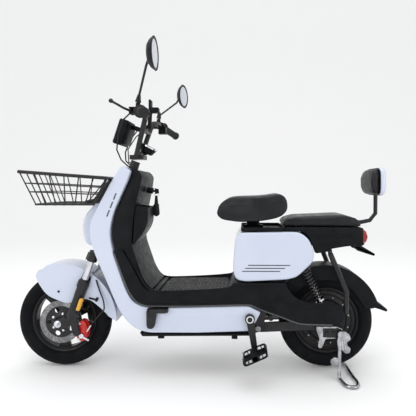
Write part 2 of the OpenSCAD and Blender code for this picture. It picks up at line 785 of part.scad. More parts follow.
module crankset() color("#1a1b1d") {
  cross_cylinder(crank_at, 9, -146, 146);
  cross_cylinder(crank_at, 20, -146, -132);
  cross_cylinder(crank_at, 20, 132, 146);
  difference() {
    union() {
      rod([crank_at[0], -140, crank_at[2]], [crank_tip[0], -140, crank_tip[2]], 8);
      cross_cylinder(crank_tip, 12, -147, -132);
    }
    cross_cylinder(crank_tip, 6, -150, -130);
  }
  difference() {
    union() {
      rod([crank_at[0], 140, crank_at[2]], [crank_tip_right[0], 140, crank_tip_right[2]], 8);
      cross_cylinder(crank_tip_right, 12, 132, 147);
    }
    cross_cylinder(crank_tip_right, 6, 130, 150);
  }
  toothed_wheel(crank_at, ring_r, 18, 54.5, 59.5, 9);
  difference() {
    cross_cylinder(crank_at, 14, 50, 54.5);
    cross_cylinder(crank_at, 9, 49, 56);
  }
}

module pedal(at) translate([at[0], 0, at[2]]) rotate([0, -24, 0]) difference() {
  union() {
    translate([-50, -232, -13]) cube([100, 82, 26]);
    translate([0, -150, 0]) rotate([90, 0, 0]) cylinder(h = 82, r = 11);
    translate([0, -133, 0]) rotate([90, 0, 0]) cylinder(h = 20, r = 5.8);
  }
  for (x = [-42, 12]) for (y = [-224, -186]) translate([x, y, -20]) cube([30, 30, 40]);
}

module pedal_left() color("#1b1b1d") pedal(crank_tip);
module pedal_right() color("#1b1b1d") mirror([0, 1, 0]) pedal(crank_tip_right);

// ---------------------------------------------------------- centre stand

stand_leg = [
  [577, -111, 174], [572, -116, 120], [566, -128, 14], [570, -140, 7.1], [578, -186, 7.1],
  [600, -197, 7.1], [626, -188, 7.1], [632, -140, 7.1], [622, -100, 7.1]
];
function mirrored(p) = [for (i = [len(p) - 1 : -1 : 0]) [p[i][0], -p[i][1], p[i][2]]];

module centre_stand() color("#c3c6ca") {
  bent_bar(concat(stand_leg, mirrored(stand_leg)), 7);
  both() {
    cross_cylinder(stand_pivot, 13, -119, -101);
    cross_cylinder(stand_pivot, 6 - running, -102, -93);
    slab([[566, 178], [572, 190], [592, 190], [606, 150], [588, 128], [600, 96], [578, 78],
          [562, 98], [570, 130]], -117, -108);
  }
}

// ------------------------------------------------------------- footrests

module footrest() {
  slab([[-189, 280], [-158, 280], [-162, 250], [-168, 216], [-176, 205], [-186, 206],
        [-189, 216]], -146, -137);
  rod([-190, -142, 277], [-120, -142, 277], 5.5);
}
module footrest_left() color("#17181a") footrest();
module footrest_right() color("#17181a") mirror([0, 1, 0]) footrest();

module ignition_key() color("#2a2b2e") {
  rod([-225, 0, 755.8], [-198, 0, 750.9], 4.6);
  slab([[-199, 764], [-182, 760], [-180, 742], [-197, 738]], -2, 2);
}

main_frame();
frame_bearings();
nose_cover();
side_panel_left();
side_panel_right();
leg_shield();
floor_board();
floor_mat();
belly_pan();
battery_cover();
battery_pack();
motor_controller();
tail_cover();
rear_seat();
tail_light();
backrest_tube();
backrest_pad();
backrest_shell();
rear_fender();
basket();
ignition_lock();
fork_crown();
stanchions();
handlebar();
grip_left();
headlight();
headlight_lens();
instrument_pod();
control_pods();
control_cables();
mirror_stems();
throttle_grip();
brake_lever_left();
brake_lever_right();
horn_button();
mirror_head_left();
mirror_head_right();
fork_lowers();
front_fender();
brake_caliper();
front_rim();
front_tyre();
brake_rotor();
swingarm();
chain();
rear_rim();
rear_tyre();
rear_sprocket();
shock_bodies();
shock_springs();
shock_rods();
crankset();
pedal_left();
pedal_right();
centre_stand();
saddle();
seat_post();
footrest_left();
footrest_right();
ignition_key();
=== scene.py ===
# Step-through electric moped with pedals, basket, saddle, rear seat and centre stand.
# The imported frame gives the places; each section below builds one piece or group of pieces.
import math

import bmesh
import bpy
from mathutils import Matrix, Vector


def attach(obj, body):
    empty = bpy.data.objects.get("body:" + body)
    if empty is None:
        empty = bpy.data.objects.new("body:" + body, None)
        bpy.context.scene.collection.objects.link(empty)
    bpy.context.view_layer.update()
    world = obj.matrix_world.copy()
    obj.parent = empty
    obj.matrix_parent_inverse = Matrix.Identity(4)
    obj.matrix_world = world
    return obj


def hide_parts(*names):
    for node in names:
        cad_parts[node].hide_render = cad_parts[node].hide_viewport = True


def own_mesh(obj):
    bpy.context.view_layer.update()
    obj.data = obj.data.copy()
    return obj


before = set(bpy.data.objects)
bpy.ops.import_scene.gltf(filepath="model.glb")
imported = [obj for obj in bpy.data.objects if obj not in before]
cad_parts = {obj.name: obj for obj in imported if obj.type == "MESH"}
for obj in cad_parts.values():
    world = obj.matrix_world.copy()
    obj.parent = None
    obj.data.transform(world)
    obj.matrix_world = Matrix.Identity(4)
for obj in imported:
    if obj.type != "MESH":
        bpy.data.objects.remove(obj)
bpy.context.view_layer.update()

# ------------------------------------------------------------------ studio
# A pale seamless sweep, a large overhead softbox and two side softboxes.
# The camera stands square to the left side, at the height of the rear seat.
CAMERA_AT = (0.18825, -1.70, 0.769)
CAMERA_TURN = math.radians(1.1)
CAMERA_LENS = 34.05
CAMERA_SHIFT = (-0.0683, -0.0505)

camera_data = bpy.data.cameras.new("camera")
camera_data.lens = CAMERA_LENS
camera_data.sensor_width = 36
camera_data.shift_x, camera_data.shift_y = CAMERA_SHIFT
camera_data.clip_end = 60
camera = bpy.data.objects.new("camera", camera_data)
camera.location = CAMERA_AT
camera.rotation_euler = (math.radians(90), 0, CAMERA_TURN)
bpy.context.collection.objects.link(camera)
bpy.context.scene.camera = camera


def clear_selection():
    if bpy.context.object and bpy.context.object.mode != "OBJECT":
        bpy.ops.object.mode_set(mode="OBJECT")
    bpy.ops.object.select_all(action="DESELECT")


def sweep_material():
    mat = bpy.data.materials.new("studio_paper")
    mat.use_nodes = True
    shader = mat.node_tree.nodes["Principled BSDF"]
    shader.inputs["Base Color"].default_value = (0.89, 0.89, 0.89, 1)
    shader.inputs["Roughness"].default_value = 0.9
    return mat


clear_selection()
bpy.ops.mesh.primitive_plane_add(size=16, location=(0, 0, 0))
floor = bpy.context.object
floor.name = "studio_floor"
bpy.ops.object.mode_set(mode="EDIT")
bpy.ops.mesh.select_mode(type="EDGE")
bpy.ops.mesh.select_all(action="DESELECT")
bm = bmesh.from_edit_mesh(floor.data)
for edge in bm.edges:
    edge.select = all(v.co.y > 7.9 for v in edge.verts)
bmesh.update_edit_mesh(floor.data)
bpy.ops.mesh.extrude_region_move(TRANSFORM_OT_translate={"value": (0, 0, 9)})
bpy.ops.object.mode_set(mode="OBJECT")
corner = floor.modifiers.new("sweep", "BEVEL")
corner.width = 4
corner.segments = 24
bpy.ops.object.modifier_apply(modifier="sweep")
bpy.ops.object.shade_smooth()
floor.data.materials.append(sweep_material())


def softbox(name, at, target, size, power):
    light = bpy.data.lights.new(name, "AREA")
    light.shape = "RECTANGLE"
    light.size, light.size_y = size
    light.energy = power
    lamp = bpy.data.objects.new(name, light)
    lamp.location = at
    lamp.rotation_euler = (Vector(target) - Vector(at)).to_track_quat("-Z", "Y").to_euler()
    bpy.context.collection.objects.link(lamp)


softbox("softbox_top", (0.0, -0.3, 3.4), (0, 0, 0.4), (3.4, 2.6), 38)
softbox("softbox_front", (-2.6, -3.0, 2.0), (0, 0, 0.6), (1.4, 2.2), 26)
softbox("softbox_rear", (2.8, -2.6, 1.6), (0.1, 0, 0.6), (1.2, 2.0), 18)

world = bpy.data.worlds.new("studio_air")
world.use_nodes = True
world.node_tree.nodes["Background"].inputs["Color"].default_value = (0.96, 0.965, 0.97, 1)
world.node_tree.nodes["Background"].inputs["Strength"].default_value = 1.02
bpy.context.scene.world = world
bpy.context.scene.view_settings.view_transform = "Standard"

# ------------------------------------------------------- white side covers
# Two gloss white ABS mouldings, left and right, that run from the steering
# head down beside the legs and under the footboard. Clipped to the frame.


def mix_noise(mat, scale, detail, low, high, feed):
    """Soft mottling between two colours, fed to one socket."""
    tree = mat.node_tree
    place = tree.nodes.new("ShaderNodeTexCoord")
    noise = tree.nodes.new("ShaderNodeTexNoise")
    noise.inputs["Scale"].default_value = scale
    noise.inputs["Detail"].default_value = detail
    ramp = tree.nodes.new("ShaderNodeValToRGB")
    ramp.color_ramp.elements[0].position = 0.35
    ramp.color_ramp.elements[1].position = 0.65
    ramp.color_ramp.elements[0].color = low
    ramp.color_ramp.elements[1].color = high
    tree.links.new(place.outputs["Object"], noise.inputs["Vector"])
    tree.links.new(noise.outputs["Fac"], ramp.inputs["Fac"])
    tree.links.new(ramp.outputs["Color"], feed)
    return noise


def grey(v):
    return (v, v, v, 1)


def finish(name, low, high, rough, metal=0.0, coat=0.0, grain=900, depth=0.02, size=0.0004,
           patch=14, voronoi=False, specular=0.32):
    """A painted, moulded or cast surface: mottled colour and gloss, and a fine bump."""
    mat = bpy.data.materials.new(name)
    mat.use_nodes = True
    tree = mat.node_tree
    shader = tree.nodes["Principled BSDF"]
    shader.inputs["Metallic"].default_value = metal
    shader.inputs["Coat Weight"].default_value = coat
    shader.inputs["Coat Roughness"].default_value = 0.06
    shader.inputs["Specular IOR Level"].default_value = specular
    mix_noise(mat, patch, 4, (*low, 1), (*high, 1), shader.inputs["Base Color"])
    mix_noise(mat, patch * 2.3, 6, grey(rough[0]), grey(rough[1]), shader.inputs["Roughness"])
    place = tree.nodes.new("ShaderNodeTexCoord")
    bump = tree.nodes.new("ShaderNodeBump")
    bump.inputs["Strength"].default_value = depth
    bump.inputs["Distance"].default_value = size
    if voronoi:
        pattern = tree.nodes.new("ShaderNodeTexVoronoi")
        pattern.feature = "DISTANCE_TO_EDGE"
        pattern.inputs["Scale"].default_value = grain
        tree.links.new(pattern.outputs["Distance"], bump.inputs["Height"])
    else:
        pattern = tree.nodes.new("ShaderNodeTexNoise")
        pattern.inputs["Scale"].default_value = grain
        pattern.inputs["Detail"].default_value = 3
        tree.links.new(pattern.outputs["Fac"], bump.inputs["Height"])
    tree.links.new(place.outputs["Object"], pattern.inputs["Vector"])
    tree.links.new(bump.outputs["Normal"], shader.inputs["Normal"])
    return mat


gloss_white = finish("gloss_white_abs", (0.51, 0.555, 0.67), (0.54, 0.585, 0.70), (0.16, 0.24),
                     coat=0.6, grain=60, depth=0.05, size=0.0006, patch=5)


def rounded(points, r, steps=5):
    """The outline's corners turned into arcs of radius r, or a corner's own radius."""
    out = []
    count = len(points)
    for i, point in enumerate(points):
        here = Vector(point[:2])
        before = Vector(points[i - 1][:2]) - here
        after = Vector(points[(i + 1) % count][:2]) - here
        reach = min(point[2] if len(point) > 2 else r, before.length * 0.49, after.length * 0.49)
        if reach < 1e-4:
            out.append(tuple(here))
            continue
        a = here + before.normalized() * reach
        b = here + after.normalized() * reach
        for k in range(steps + 1):
            t = k / steps
            out.append(tuple(a * (1 - t) ** 2 + here * 2 * t * (1 - t) + b * t ** 2))
    return out


def trace(name, outline, y0, y1, steps=1):
    """An (x, z) outline drawn by extruding one point round it, filled, then pulled across."""
    clear_selection()
    bpy.ops.mesh.primitive_plane_add(size=0.002, location=(0, 0, 0))
    obj = bpy.context.object
    obj.name = name
    bpy.ops.object.mode_set(mode="EDIT")
    bpy.ops.mesh.select_mode(type="VERT")
    bpy.ops.mesh.select_all(action="SELECT")
    bpy.ops.mesh.merge(type="CENTER")
    x, z = outline[0]
    bpy.ops.transform.translate(value=(x, y0, z))
    for px, pz in outline[1:]:
        bpy.ops.mesh.extrude_region_move(
            TRANSFORM_OT_translate={"value": (px - x, 0, pz - z)})
        x, z = px, pz
    bpy.ops.mesh.select_all(action="SELECT")
    bpy.ops.mesh.edge_face_add()
    for _ in range(steps):
        bpy.ops.mesh.extrude_region_move(
            TRANSFORM_OT_translate={"value": (0, (y1 - y0) / steps, 0)})
    bpy.ops.mesh.select_all(action="SELECT")
    bpy.ops.mesh.normals_make_consistent(inside=False)
    bpy.ops.object.mode_set(mode="OBJECT")
    return obj


def pick(obj, kind, test):
    """Selects the faces, edges or points of a piece that pass a test, in edit mode."""
    clear_selection()
    bpy.context.view_layer.objects.active = obj
    obj.select_set(True)
    bpy.ops.object.mode_set(mode="EDIT")
    bpy.ops.mesh.select_mode(type=kind)
    bpy.ops.mesh.select_all(action="DESELECT")
    bm = bmesh.from_edit_mesh(obj.data)
    chosen = {"FACE": bm.faces, "EDGE": bm.edges, "VERT": bm.verts}[kind]
    for part in chosen:
        if test(part):
            part.select = True
    bm.select_flush(True)
    bmesh.update_edit_mesh(obj.data)


def leave():
    bpy.ops.object.mode_set(mode="OBJECT")


def apply_modifiers(obj):
    clear_selection()
    bpy.context.view_layer.objects.active = obj
    obj.select_set(True)
    for modifier in list(obj.modifiers):
        bpy.ops.object.modifier_apply(modifier=modifier.name)


def bevel(obj, width, segments=4, angle=30):
    soft = obj.modifiers.new("edges", "BEVEL")
    soft.width = width
    soft.segments = segments
    soft.limit_method = "ANGLE"
    soft.angle_limit = math.radians(angle)
    soft.harden_normals = False
    apply_modifiers(obj)


def smooth(obj, angle=35):
    clear_selection()
    bpy.context.view_layer.objects.active = obj
    obj.select_set(True)
    bpy.ops.object.shade_smooth_by_angle(angle=math.radians(angle))


def fit(obj, body, material, slot_name, *nodes, soft=None):
    """Finishes a piece: shading, material, the body it rides on, the CAD nodes it replaces."""
    if soft:
        smooth(obj, soft)
    clear_selection()
    bpy.context.view_layer.objects.active = obj
    obj.select_set(True)
    bpy.ops.object.transform_apply(location=True, rotation=True, scale=True)
    obj.data.materials.clear()
    obj.data.materials.append(material)
    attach(obj, body)
    if nodes:
        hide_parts(*nodes)


def join(name, objects):
    clear_selection()
    for obj in objects:
        obj.select_set(True)
    bpy.context.view_layer.objects.active = objects[0]
    if len(objects) > 1:
        bpy.ops.object.join()
    objects[0].name = name
    return objects[0]


def duplicate_mirrored(obj, name):
    """The right-hand twin of a left-hand piece, with its own mesh."""
    twin = obj.copy()
    twin.data = obj.data.copy()
    twin.name = name
    bpy.context.collection.objects.link(twin)
    clear_selection()
    bpy.context.view_layer.objects.active = twin
    twin.select_set(True)
    bpy.ops.object.mode_set(mode="EDIT")
    bpy.ops.mesh.select_all(action="SELECT")
    bpy.ops.transform.mirror(constraint_axis=(False, True, False), orient_type="GLOBAL",
                             center_override=(0, 0, 0))
    bpy.ops.mesh.normals_make_consistent(inside=False)
    bpy.ops.object.mode_set(mode="OBJECT")
    return twin


def mm(points):
    return [tuple(c / 1000 for c in p) for p in points]


def turned(name, profile, at, direction, steps=48):
    """A profile of (radius, height) points spun about an axis that starts at a place."""
    clear_selection()
    bpy.ops.mesh.primitive_plane_add(size=0.002, location=(0, 0, 0))
    obj = bpy.context.object
    obj.name = name
    bpy.ops.object.mode_set(mode="EDIT")
    bpy.ops.mesh.select_mode(type="VERT")
    bpy.ops.mesh.select_all(action="SELECT")
    bpy.ops.mesh.merge(type="CENTER")
    r, h = profile[0]
    bpy.ops.transform.translate(value=(r, 0, h))
    for pr, ph in profile[1:]:
        bpy.ops.mesh.extrude_region_move(TRANSFORM_OT_translate={"value": (pr - r, 0, ph - h)})
        r, h = pr, ph
    bpy.ops.mesh.select_all(action="SELECT")
    bpy.ops.mesh.spin(steps=steps, angle=math.tau, center=(0, 0, 0), axis=(0, 0, 1))
    bpy.ops.mesh.select_all(action="SELECT")
    bpy.ops.mesh.remove_doubles(threshold=0.00005)
    bpy.ops.mesh.normals_make_consistent(inside=False)
    bpy.ops.object.mode_set(mode="OBJECT")
    turn = Vector(direction).to_track_quat("Z", "Y").to_matrix().to_4x4()
    obj.matrix_world = Matrix.Translation(at) @ turn
    settle(obj)
    return obj


def settle(obj):
    """Puts a piece's place into its mesh."""
    clear_selection()
    bpy.context.view_layer.objects.active = obj
    obj.select_set(True)
    bpy.ops.object.transform_apply(location=True, rotation=True, scale=True)


def block(name, low, high, r=0.0, segments=3, turn=0.0, pivot=None):
    """A box between two corners with its edges rounded, turned about a line across it."""
    clear_selection()
    size = [b - a for a, b in zip(low, high)]
    centre = [(a + b) / 2 for a, b in zip(low, high)]
    bpy.ops.mesh.primitive_cube_add(size=1, location=centre)
    obj = bpy.context.object
    obj.name = name
    obj.scale = size
    settle(obj)
    if r:
        bevel(obj, r, segments, 40)
    if turn:
        around = Matrix.Translation(pivot or centre)
        obj.matrix_world = around @ Matrix.Rotation(math.radians(turn), 4, "Y") @ around.inverted()
        settle(obj)
    return obj


def bar(name, a, b, r, r_end=None, sides=24, soft=0.0):
    """A round bar or pin between two points, its ends softened."""
    length = (Vector(b) - Vector(a)).length
    r_end = r if r_end is None else r_end
    k = soft or min(r, r_end) * 0.15
    profile = [(0, 0), (r - k, 0), (r, k), (r_end, length - k), (r_end - k, length), (0, length)]
    return turned(name, profile, a, Vector(b) - Vector(a), sides)


def tube(name, points, r, closed=False, smooth_path=True, resolution=3):
    """A bent tube, wire or cable along a path."""
    clear_selection()
    curve = bpy.data.curves.new(name, "CURVE")
    curve.dimensions = "3D"
    kind = "NURBS" if smooth_path and len(points) > 2 else "POLY"
    spline = curve.splines.new(kind)
    spline.points.add(len(points) - 1)
    for knot, place in zip(spline.points, points):
        knot.co = (*place, 1)
    if kind == "NURBS":
        spline.order_u = 3
        spline.use_endpoint_u = True
        spline.resolution_u = 6
    spline.use_cyclic_u = closed
    curve.bevel_depth = r
    curve.bevel_resolution = resolution
    curve.use_fill_caps = True
    obj = bpy.data.objects.new(name, curve)
    bpy.context.collection.objects.link(obj)
    bpy.context.view_layer.objects.active = obj
    obj.select_set(True)
    bpy.ops.object.convert(target="MESH")
    obj = bpy.context.object
    obj.name = name
    bpy.ops.object.shade_smooth()
    return obj


def taper_across(obj, width_at):
    """Narrows a piece across the vehicle, by a share that depends on the place."""
    for v in obj.data.vertices:
        v.co.y *= width_at(v.co)


def cut_away(obj, cutters):
    """Takes the shapes of the cutters out of a piece."""
    for cutter in cutters:
        cut = obj.modifiers.new("cut", "BOOLEAN")
        cut.operation = "DIFFERENCE"
        cut.solver = "MANIFOLD"
        cut.object = cutter
    apply_modifiers(obj)
    for cutter in cutters:
        bpy.data.objects.remove(cutter)


FORK_TILT = math.tan(math.radians(20))


def steering_line(z, ahead=0.0, y=0.0):
    """A place on the steering axis at a height, moved ahead."""
    return Vector((-0.287 + (z - 0.864) * FORK_TILT + ahead, y, z))


SIDE_Y = 0.128
column = rounded(mm([
    (-307, 856, 10), (-268, 836, 12), (-282, 795, 30), (-341, 660, 60), (-355, 585, 60),
    (-343, 515, 60), (-290, 362, 40), (-262, 306, 45), (-205, 284, 30), (-100, 284, 10),
    (205, 293, 10), (256, 268, 8), (236, 230, 10), (212, 192, 10), (0, 184, 0),
    (-205, 183, 40), (-262, 206, 40), (-312, 264, 60), (-360, 376, 60), (-412, 494, 40),
    (-434, 560, 60), (-434, 628, 40), (-404, 684, 60), (-352, 784, 60)]), 0.02)
side_left = trace("side_cover_left", column, -SIDE_Y, -0.062)
pick(side_left, "FACE", lambda f: f.normal.y > 0.9)
bpy.ops.mesh.delete(type="FACE")
leave()
bevel(side_left, 0.013, 5, 40)
wall = side_left.modifiers.new("wall", "SOLIDIFY")
wall.thickness = 0.003
wall.offset = -1
apply_modifiers(side_left)
cut_away(side_left, [bar("crown_room", steering_line(0.417), steering_line(0.517), 0.1030,
                         sides=64, soft=0.0001)])
smooth(side_left, 40)
side_right = duplicate_mirrored(side_left, "side_cover_right")
fit(side_left, "frame", gloss_white, "white_plastic", "side_panel_left")
fit(side_right, "frame", gloss_white, "white_plastic", "side_panel_right")

# -------------------------------------------------------------- nose cover
# The white centre moulding between the side covers, over the steering head.
# It bulges forward below the basket.
nose_outline = rounded(mm([
    (-430, 520, 10), (-492, 528, 14), (-504, 568, 30), (-505, 622, 26), (-488, 660, 20),
    (-440, 704, 40), (-384, 762, 40), (-336, 834, 20), (-318, 848, 6), (-300, 840, 6),
    (-352, 740, 40), (-398, 660, 40), (-410, 580, 40)]), 0.02)
nose = trace("nose_cover_shell", nose_outline, -0.0655, 0.0655, 12)
for v in nose.data.vertices:
    front_share = min(max((-0.435 - v.co.x) / 0.045, 0), 1)
    v.co.x += 0.026 * front_share * abs(v.co.y / 0.0655) ** 2.4
bevel(nose, 0.012, 5, 40)
fit(nose, "frame", gloss_white, "white_plastic", "nose_cover", soft=40)

# ------------------------------------------------------------- box cover
# The white cover of the battery box below the saddle, with big soft corners.
cover_outline = rounded(mm([
    (153, 560, 16), (168, 585, 18), (410, 589, 40), (450, 560, 50), (471, 497, 30),
    (462, 466, 40), (400, 408, 50), (360, 398, 30), (192, 389, 24), (154, 398, 26),
    (143, 440, 40)]), 0.02)
cover = trace("battery_box_cover", cover_outline, -0.127, 0.127)
bevel(cover, 0.016, 6, 40)
fit(cover, "frame", gloss_white, "white_plastic", "battery_cover", soft=40)

# -------------------------------------------------------------- leg shield
# Satin black inner moulding that faces the rider's knees, with one open bin on the
# left. Injection moulded in one piece and screwed to the white covers.
satin_black = finish("satin_black_plastic", (0.0030, 0.0034, 0.0045), (0.0060, 0.0068, 0.0085),
                     (0.34, 0.48), grain=1500, depth=0.16, size=0.0002, patch=18, specular=0.12)
shield_outline = rounded(mm([
    (-290, 845, 6), (-243, 836, 10), (-226, 816, 12), (-235, 756, 30), (-252, 691, 40),
    (-264, 600, 60), (-267, 539, 60), (-222, 409, 50), (-200, 374, 30), (-178, 357, 6),
    (-238, 357, 6), (-270, 367, 20), (-308, 470, 60), (-334, 540, 40), (-342, 580, 40),
    (-333, 650, 60), (-278, 800, 20), (-274, 824, 8)]), 0.02)
shield = trace("leg_shield_moulding", shield_outline, -0.1215, 0.1215)
bevel(shield, 0.010, 4, 40)
taper_across(shield, lambda co: 1 - 0.18 * max(0, min(1, (co.z - 0.700) / 0.15)))
fit(shield, "frame", satin_black, "black_plastic", "leg_shield", soft=40)

# The bin on the left: bulged outer wall, open at the top, with a rolled rim.
bin_outline = rounded(mm([
    (-256, 690, 4), (-201, 684, 4), (-200, 622, 40), (-221, 580, 40), (-250, 545, 20),
    (-264, 533, 4), (-258, 600, 30)]), 0.02)
knee_bin = trace("knee_bin", bin_outline, -0.1155, -0.0105)
bevel(knee_bin, 0.008, 4, 50)
pick(knee_bin, "FACE", lambda f: f.normal.z > 0.8 and f.calc_center_median().z > 0.682)
bpy.ops.mesh.inset(thickness=0.004)
bpy.ops.mesh.extrude_region_move(TRANSFORM_OT_translate={"value": (0, 0, -0.050)})
leave()
fit(knee_bin, "frame", satin_black, "black_plastic", soft=40)
rim_line = mm([(-250, -113, 691), (-203, -113, 685.5), (-199.5, -104, 685), (-199.5, -22, 685),
               (-203, -13, 685.5), (-250, -13, 691)])
bin_rim = tube("knee_bin_rim", rim_line, 0.0022, smooth_path=False)
fit(bin_rim, "frame", satin_black, "black_plastic")

# A flat closing strip lies under the joint of the shield and the footboard.
closing_strip = block("shield_closing_strip", (-0.212, -0.116, 0.322), (-0.158, 0.116, 0.352),
                      0.003, 2)
fit(closing_strip, "frame", satin_black, "black_plastic", soft=40)

# ------------------------------------------------------ footboard and trims
# The footboard and the long black side trims that run from the steering column
# along the floor to the swingarm, moulded with a raised lip and a lower bead.
soft_rubber = finish("soft_rubber", (0.007, 0.007, 0.008), (0.013, 0.013, 0.014),
                     (0.48, 0.66), grain=1700, depth=0.25, size=0.0002, patch=30)
trim_shape = rounded(mm([
    (-339, 512, 6), (-285, 362, 30), (-257, 318, 30), (-216, 290, 30), (-149, 287, 20),
    (212, 296, 20), (258, 273, 20), (330, 250, 30), (400, 222, 20), (560, 217, 16),
    (584, 230, 20), (586, 260, 20), (582, 292, 20), (560, 304, 30), (440, 310, 40),
    (410, 318, 20), (385, 335, 20), (362, 366, 20), (356, 384, 6), (150, 386, 16),
    (120, 361, 20), (-150, 347, 20), (-212, 357, 30), (-256, 440, 40), (-300, 515, 4)]), 0.02)
trim_left = trace("side_trim_left", trim_shape, -0.1305, -0.1245)
bevel(trim_left, 0.0025, 3, 40)
smooth(trim_left, 40)
lip_line = mm([(-322, -128, 512), (-272, -128, 372), (-246, -128, 334), (-214, -128, 312),
               (-150, -128, 304), (60, -128, 309), (208, -128, 318), (262, -128, 300),
               (330, -128, 276), (404, -128, 254), (470, -128, 248), (560, -128, 247)])
lip = tube("trim_lip", lip_line, 0.0042)
upper_line = mm([(-250, -128, 452), (-214, -128, 376), (-190, -128, 356), (-150, -128, 347),
                 (120, -128, 361), (150, -128, 376), (200, -128, 378), (350, -128, 376)])
upper_lip = tube("trim_upper_lip", upper_line, 0.0040)
rib_one = tube("trim_rib", mm([(330, -128, 330), (372, -128, 296), (420, -128, 284),
                               (560, -128, 280), (572, -128, 268)]), 0.0035)
rib_two = tube("trim_rib_low", mm([(300, -128, 300), (360, -128, 268), (420, -128, 262),
                                   (540, -128, 260)]), 0.0025)
trim_left = join("side_trim_left", [trim_left, lip, upper_lip, rib_one, rib_two])
trim_right = duplicate_mirrored(trim_left, "side_trim_right")
fit(trim_left, "frame", satin_black, "black_plastic")
fit(trim_right, "frame", satin_black, "black_plastic")

floor_outline = mm([(-176, 341), (-150, 345.5), (122, 350.5), (144, 384), (356, 384), (356, 378),
                    (158, 378), (138, 338), (-172, 334)])
floor_plate = trace("footboard", floor_outline, -0.124, 0.124)
bevel(floor_plate, 0.0025, 3, 40)
fit(floor_plate, "frame", satin_black, "black_plastic", "floor_board", soft=40)

# The ribbed rubber mat on the footboard, in two rows of raised blocks.
mat_blocks = []
mat_base = block("mat_base", (-0.146, -0.116, 0.3475), (0.118, 0.116, 0.3515), 0.0015, 2)
mat_base.data.transform(Matrix.Translation((-0.014, 0, 0.3495))
                        @ Matrix.Rotation(math.radians(-0.9), 4, "Y")
                        @ Matrix.Translation((0.014, 0, -0.3495)))
mat_blocks.append(mat_base)
first_rib = block("mat_rib", (-0.135, -0.108, 0.3510), (-0.128, -0.006, 0.3532), 0.0010, 1)
for column_index in range(16):
    for side in (0, 1):
        rib = first_rib.copy()
        rib.data = first_rib.data.copy()
        bpy.context.collection.objects.link(rib)
        rib.data.transform(Matrix.Translation((0.0155 * column_index, 0.114 * side,
                                               0.00024 * column_index - 0.0012)))
        mat_blocks.append(rib)
bpy.data.objects.remove(first_rib)
floor_mat = join("floor_mat_ribs", mat_blocks)
fit(floor_mat, "frame", soft_rubber, "rubber", "floor_mat")

# A glossy black bead follows the lower edge of each side trim.
bead_path = mm([(-334, -129.2, 504), (-286, -129.2, 368), (-258, -129.2, 323), (-236, -129.2, 302),
                (-206, -129.2, 291), (-150, -129.2, 290), (30, -129.2, 293), (200, -129.2, 299),
                (222, -129.2, 296), (256, -129.2, 278), (330, -129.2, 254), (400, -129.2, 226),
                (440, -129.2, 221), (540, -129.2, 220)])
bead_gloss = finish("bead_gloss_black", (0.010, 0.011, 0.013), (0.014, 0.015, 0.018),
                    (0.10, 0.18), coat=1.0, grain=90, depth=0.03, size=0.0003, patch=10,
                    specular=0.5)
left_bead = tube("left_trim_bead", bead_path, 0.0034)
right_bead = duplicate_mirrored(left_bead, "right_trim_bead")
for bead in (left_bead, right_bead):
    fit(bead, "frame", bead_gloss, "black_plastic")

# ----------------------------------------------------------------- saddle
# The rider's saddle: foam on a pressed pan, covered in black leatherette with a
# sewn crease along each side. Rounded nose, broad rear.
leatherette = finish("black_leatherette", (0.005, 0.0055, 0.007), (0.010, 0.0105, 0.012),
                     (0.32, 0.46), grain=520, depth=0.30, size=0.0004, patch=16, voronoi=True,
                     specular=0.25)


def stuffed(obj, cap, base_z, voxel=0.005):
    """Fills a closed cushion form with cloth under pressure, held along its flat base."""
    clear_selection()
    bpy.context.view_layer.objects.active = obj
    obj.select_set(True)
    obj.data.remesh_voxel_size = voxel
    bpy.ops.object.voxel_remesh()
    start = [v.co.copy() for v in obj.data.vertices]
    hold = obj.vertex_groups.new(name="base")
    hold.add([v.index for v in obj.data.vertices if v.co.z < base_z], 1.0, "REPLACE")
    cloth = obj.modifiers.new("cloth", "CLOTH")
    cloth.settings.quality = 4
    cloth.settings.mass = 0.3
    cloth.settings.tension_stiffness = 12
    cloth.settings.compression_stiffness = 12
    cloth.settings.shear_stiffness = 6
    cloth.settings.bending_stiffness = 2
    cloth.settings.use_pressure = True
    cloth.settings.uniform_pressure_force = 4
    cloth.settings.effector_weights.gravity = 0
    cloth.settings.vertex_group_mass = "base"
    cloth.collision_settings.use_collision = False
    cloth.point_cache.frame_start = 1
    cloth.point_cache.frame_end = 20
    for step in range(1, 21):
        bpy.context.scene.frame_set(step)
    apply_modifiers(obj)
    for v, first in zip(obj.data.vertices, start):
        move = v.co - first
        if move.length > cap:
            v.co = first + move.normalized() * cap
    bpy.context.scene.frame_set(1)
    relax = obj.modifiers.new("relax", "SMOOTH")
    relax.factor = 0.6
    relax.iterations = 6
    finer = obj.modifiers.new("finer", "SUBSURF")
    finer.levels = 1
    finer.render_levels = 1
    apply_modifiers(obj)
    clear_selection()
    obj.select_set(True)
    bpy.context.view_layer.objects.active = obj
    bpy.ops.object.shade_smooth()


def seam(name, obj, plane_at, plane_normal, r, keep):
    """A sewn line where a plane cuts a cushion, as a thin rolled cord of the same cover."""
    line = obj.copy()
    line.data = obj.data.copy()
    line.name = name
    bpy.context.collection.objects.link(line)
    clear_selection()
    bpy.context.view_layer.objects.active = line
    line.select_set(True)
    bpy.ops.object.mode_set(mode="EDIT")
    bpy.ops.mesh.select_all(action="SELECT")
    bpy.ops.mesh.bisect(plane_co=plane_at, plane_no=plane_normal)
    bm = bmesh.from_edit_mesh(line.data)
    spare = [v for v in bm.verts if not v.select or not keep(v.co)]
    bmesh.ops.delete(bm, geom=spare, context="VERTS")
    bmesh.ops.delete(bm, geom=list(bm.faces), context="FACES_ONLY")
    bmesh.update_edit_mesh(line.data)
    bpy.ops.object.mode_set(mode="OBJECT")
    bpy.ops.object.convert(target="CURVE")
    line = bpy.context.object
    line.data.bevel_depth = r
    line.data.bevel_resolution = 2
    bpy.ops.object.convert(target="MESH")
    line = bpy.context.object
    line.name = name
    bpy.ops.object.shade_smooth()
    return line


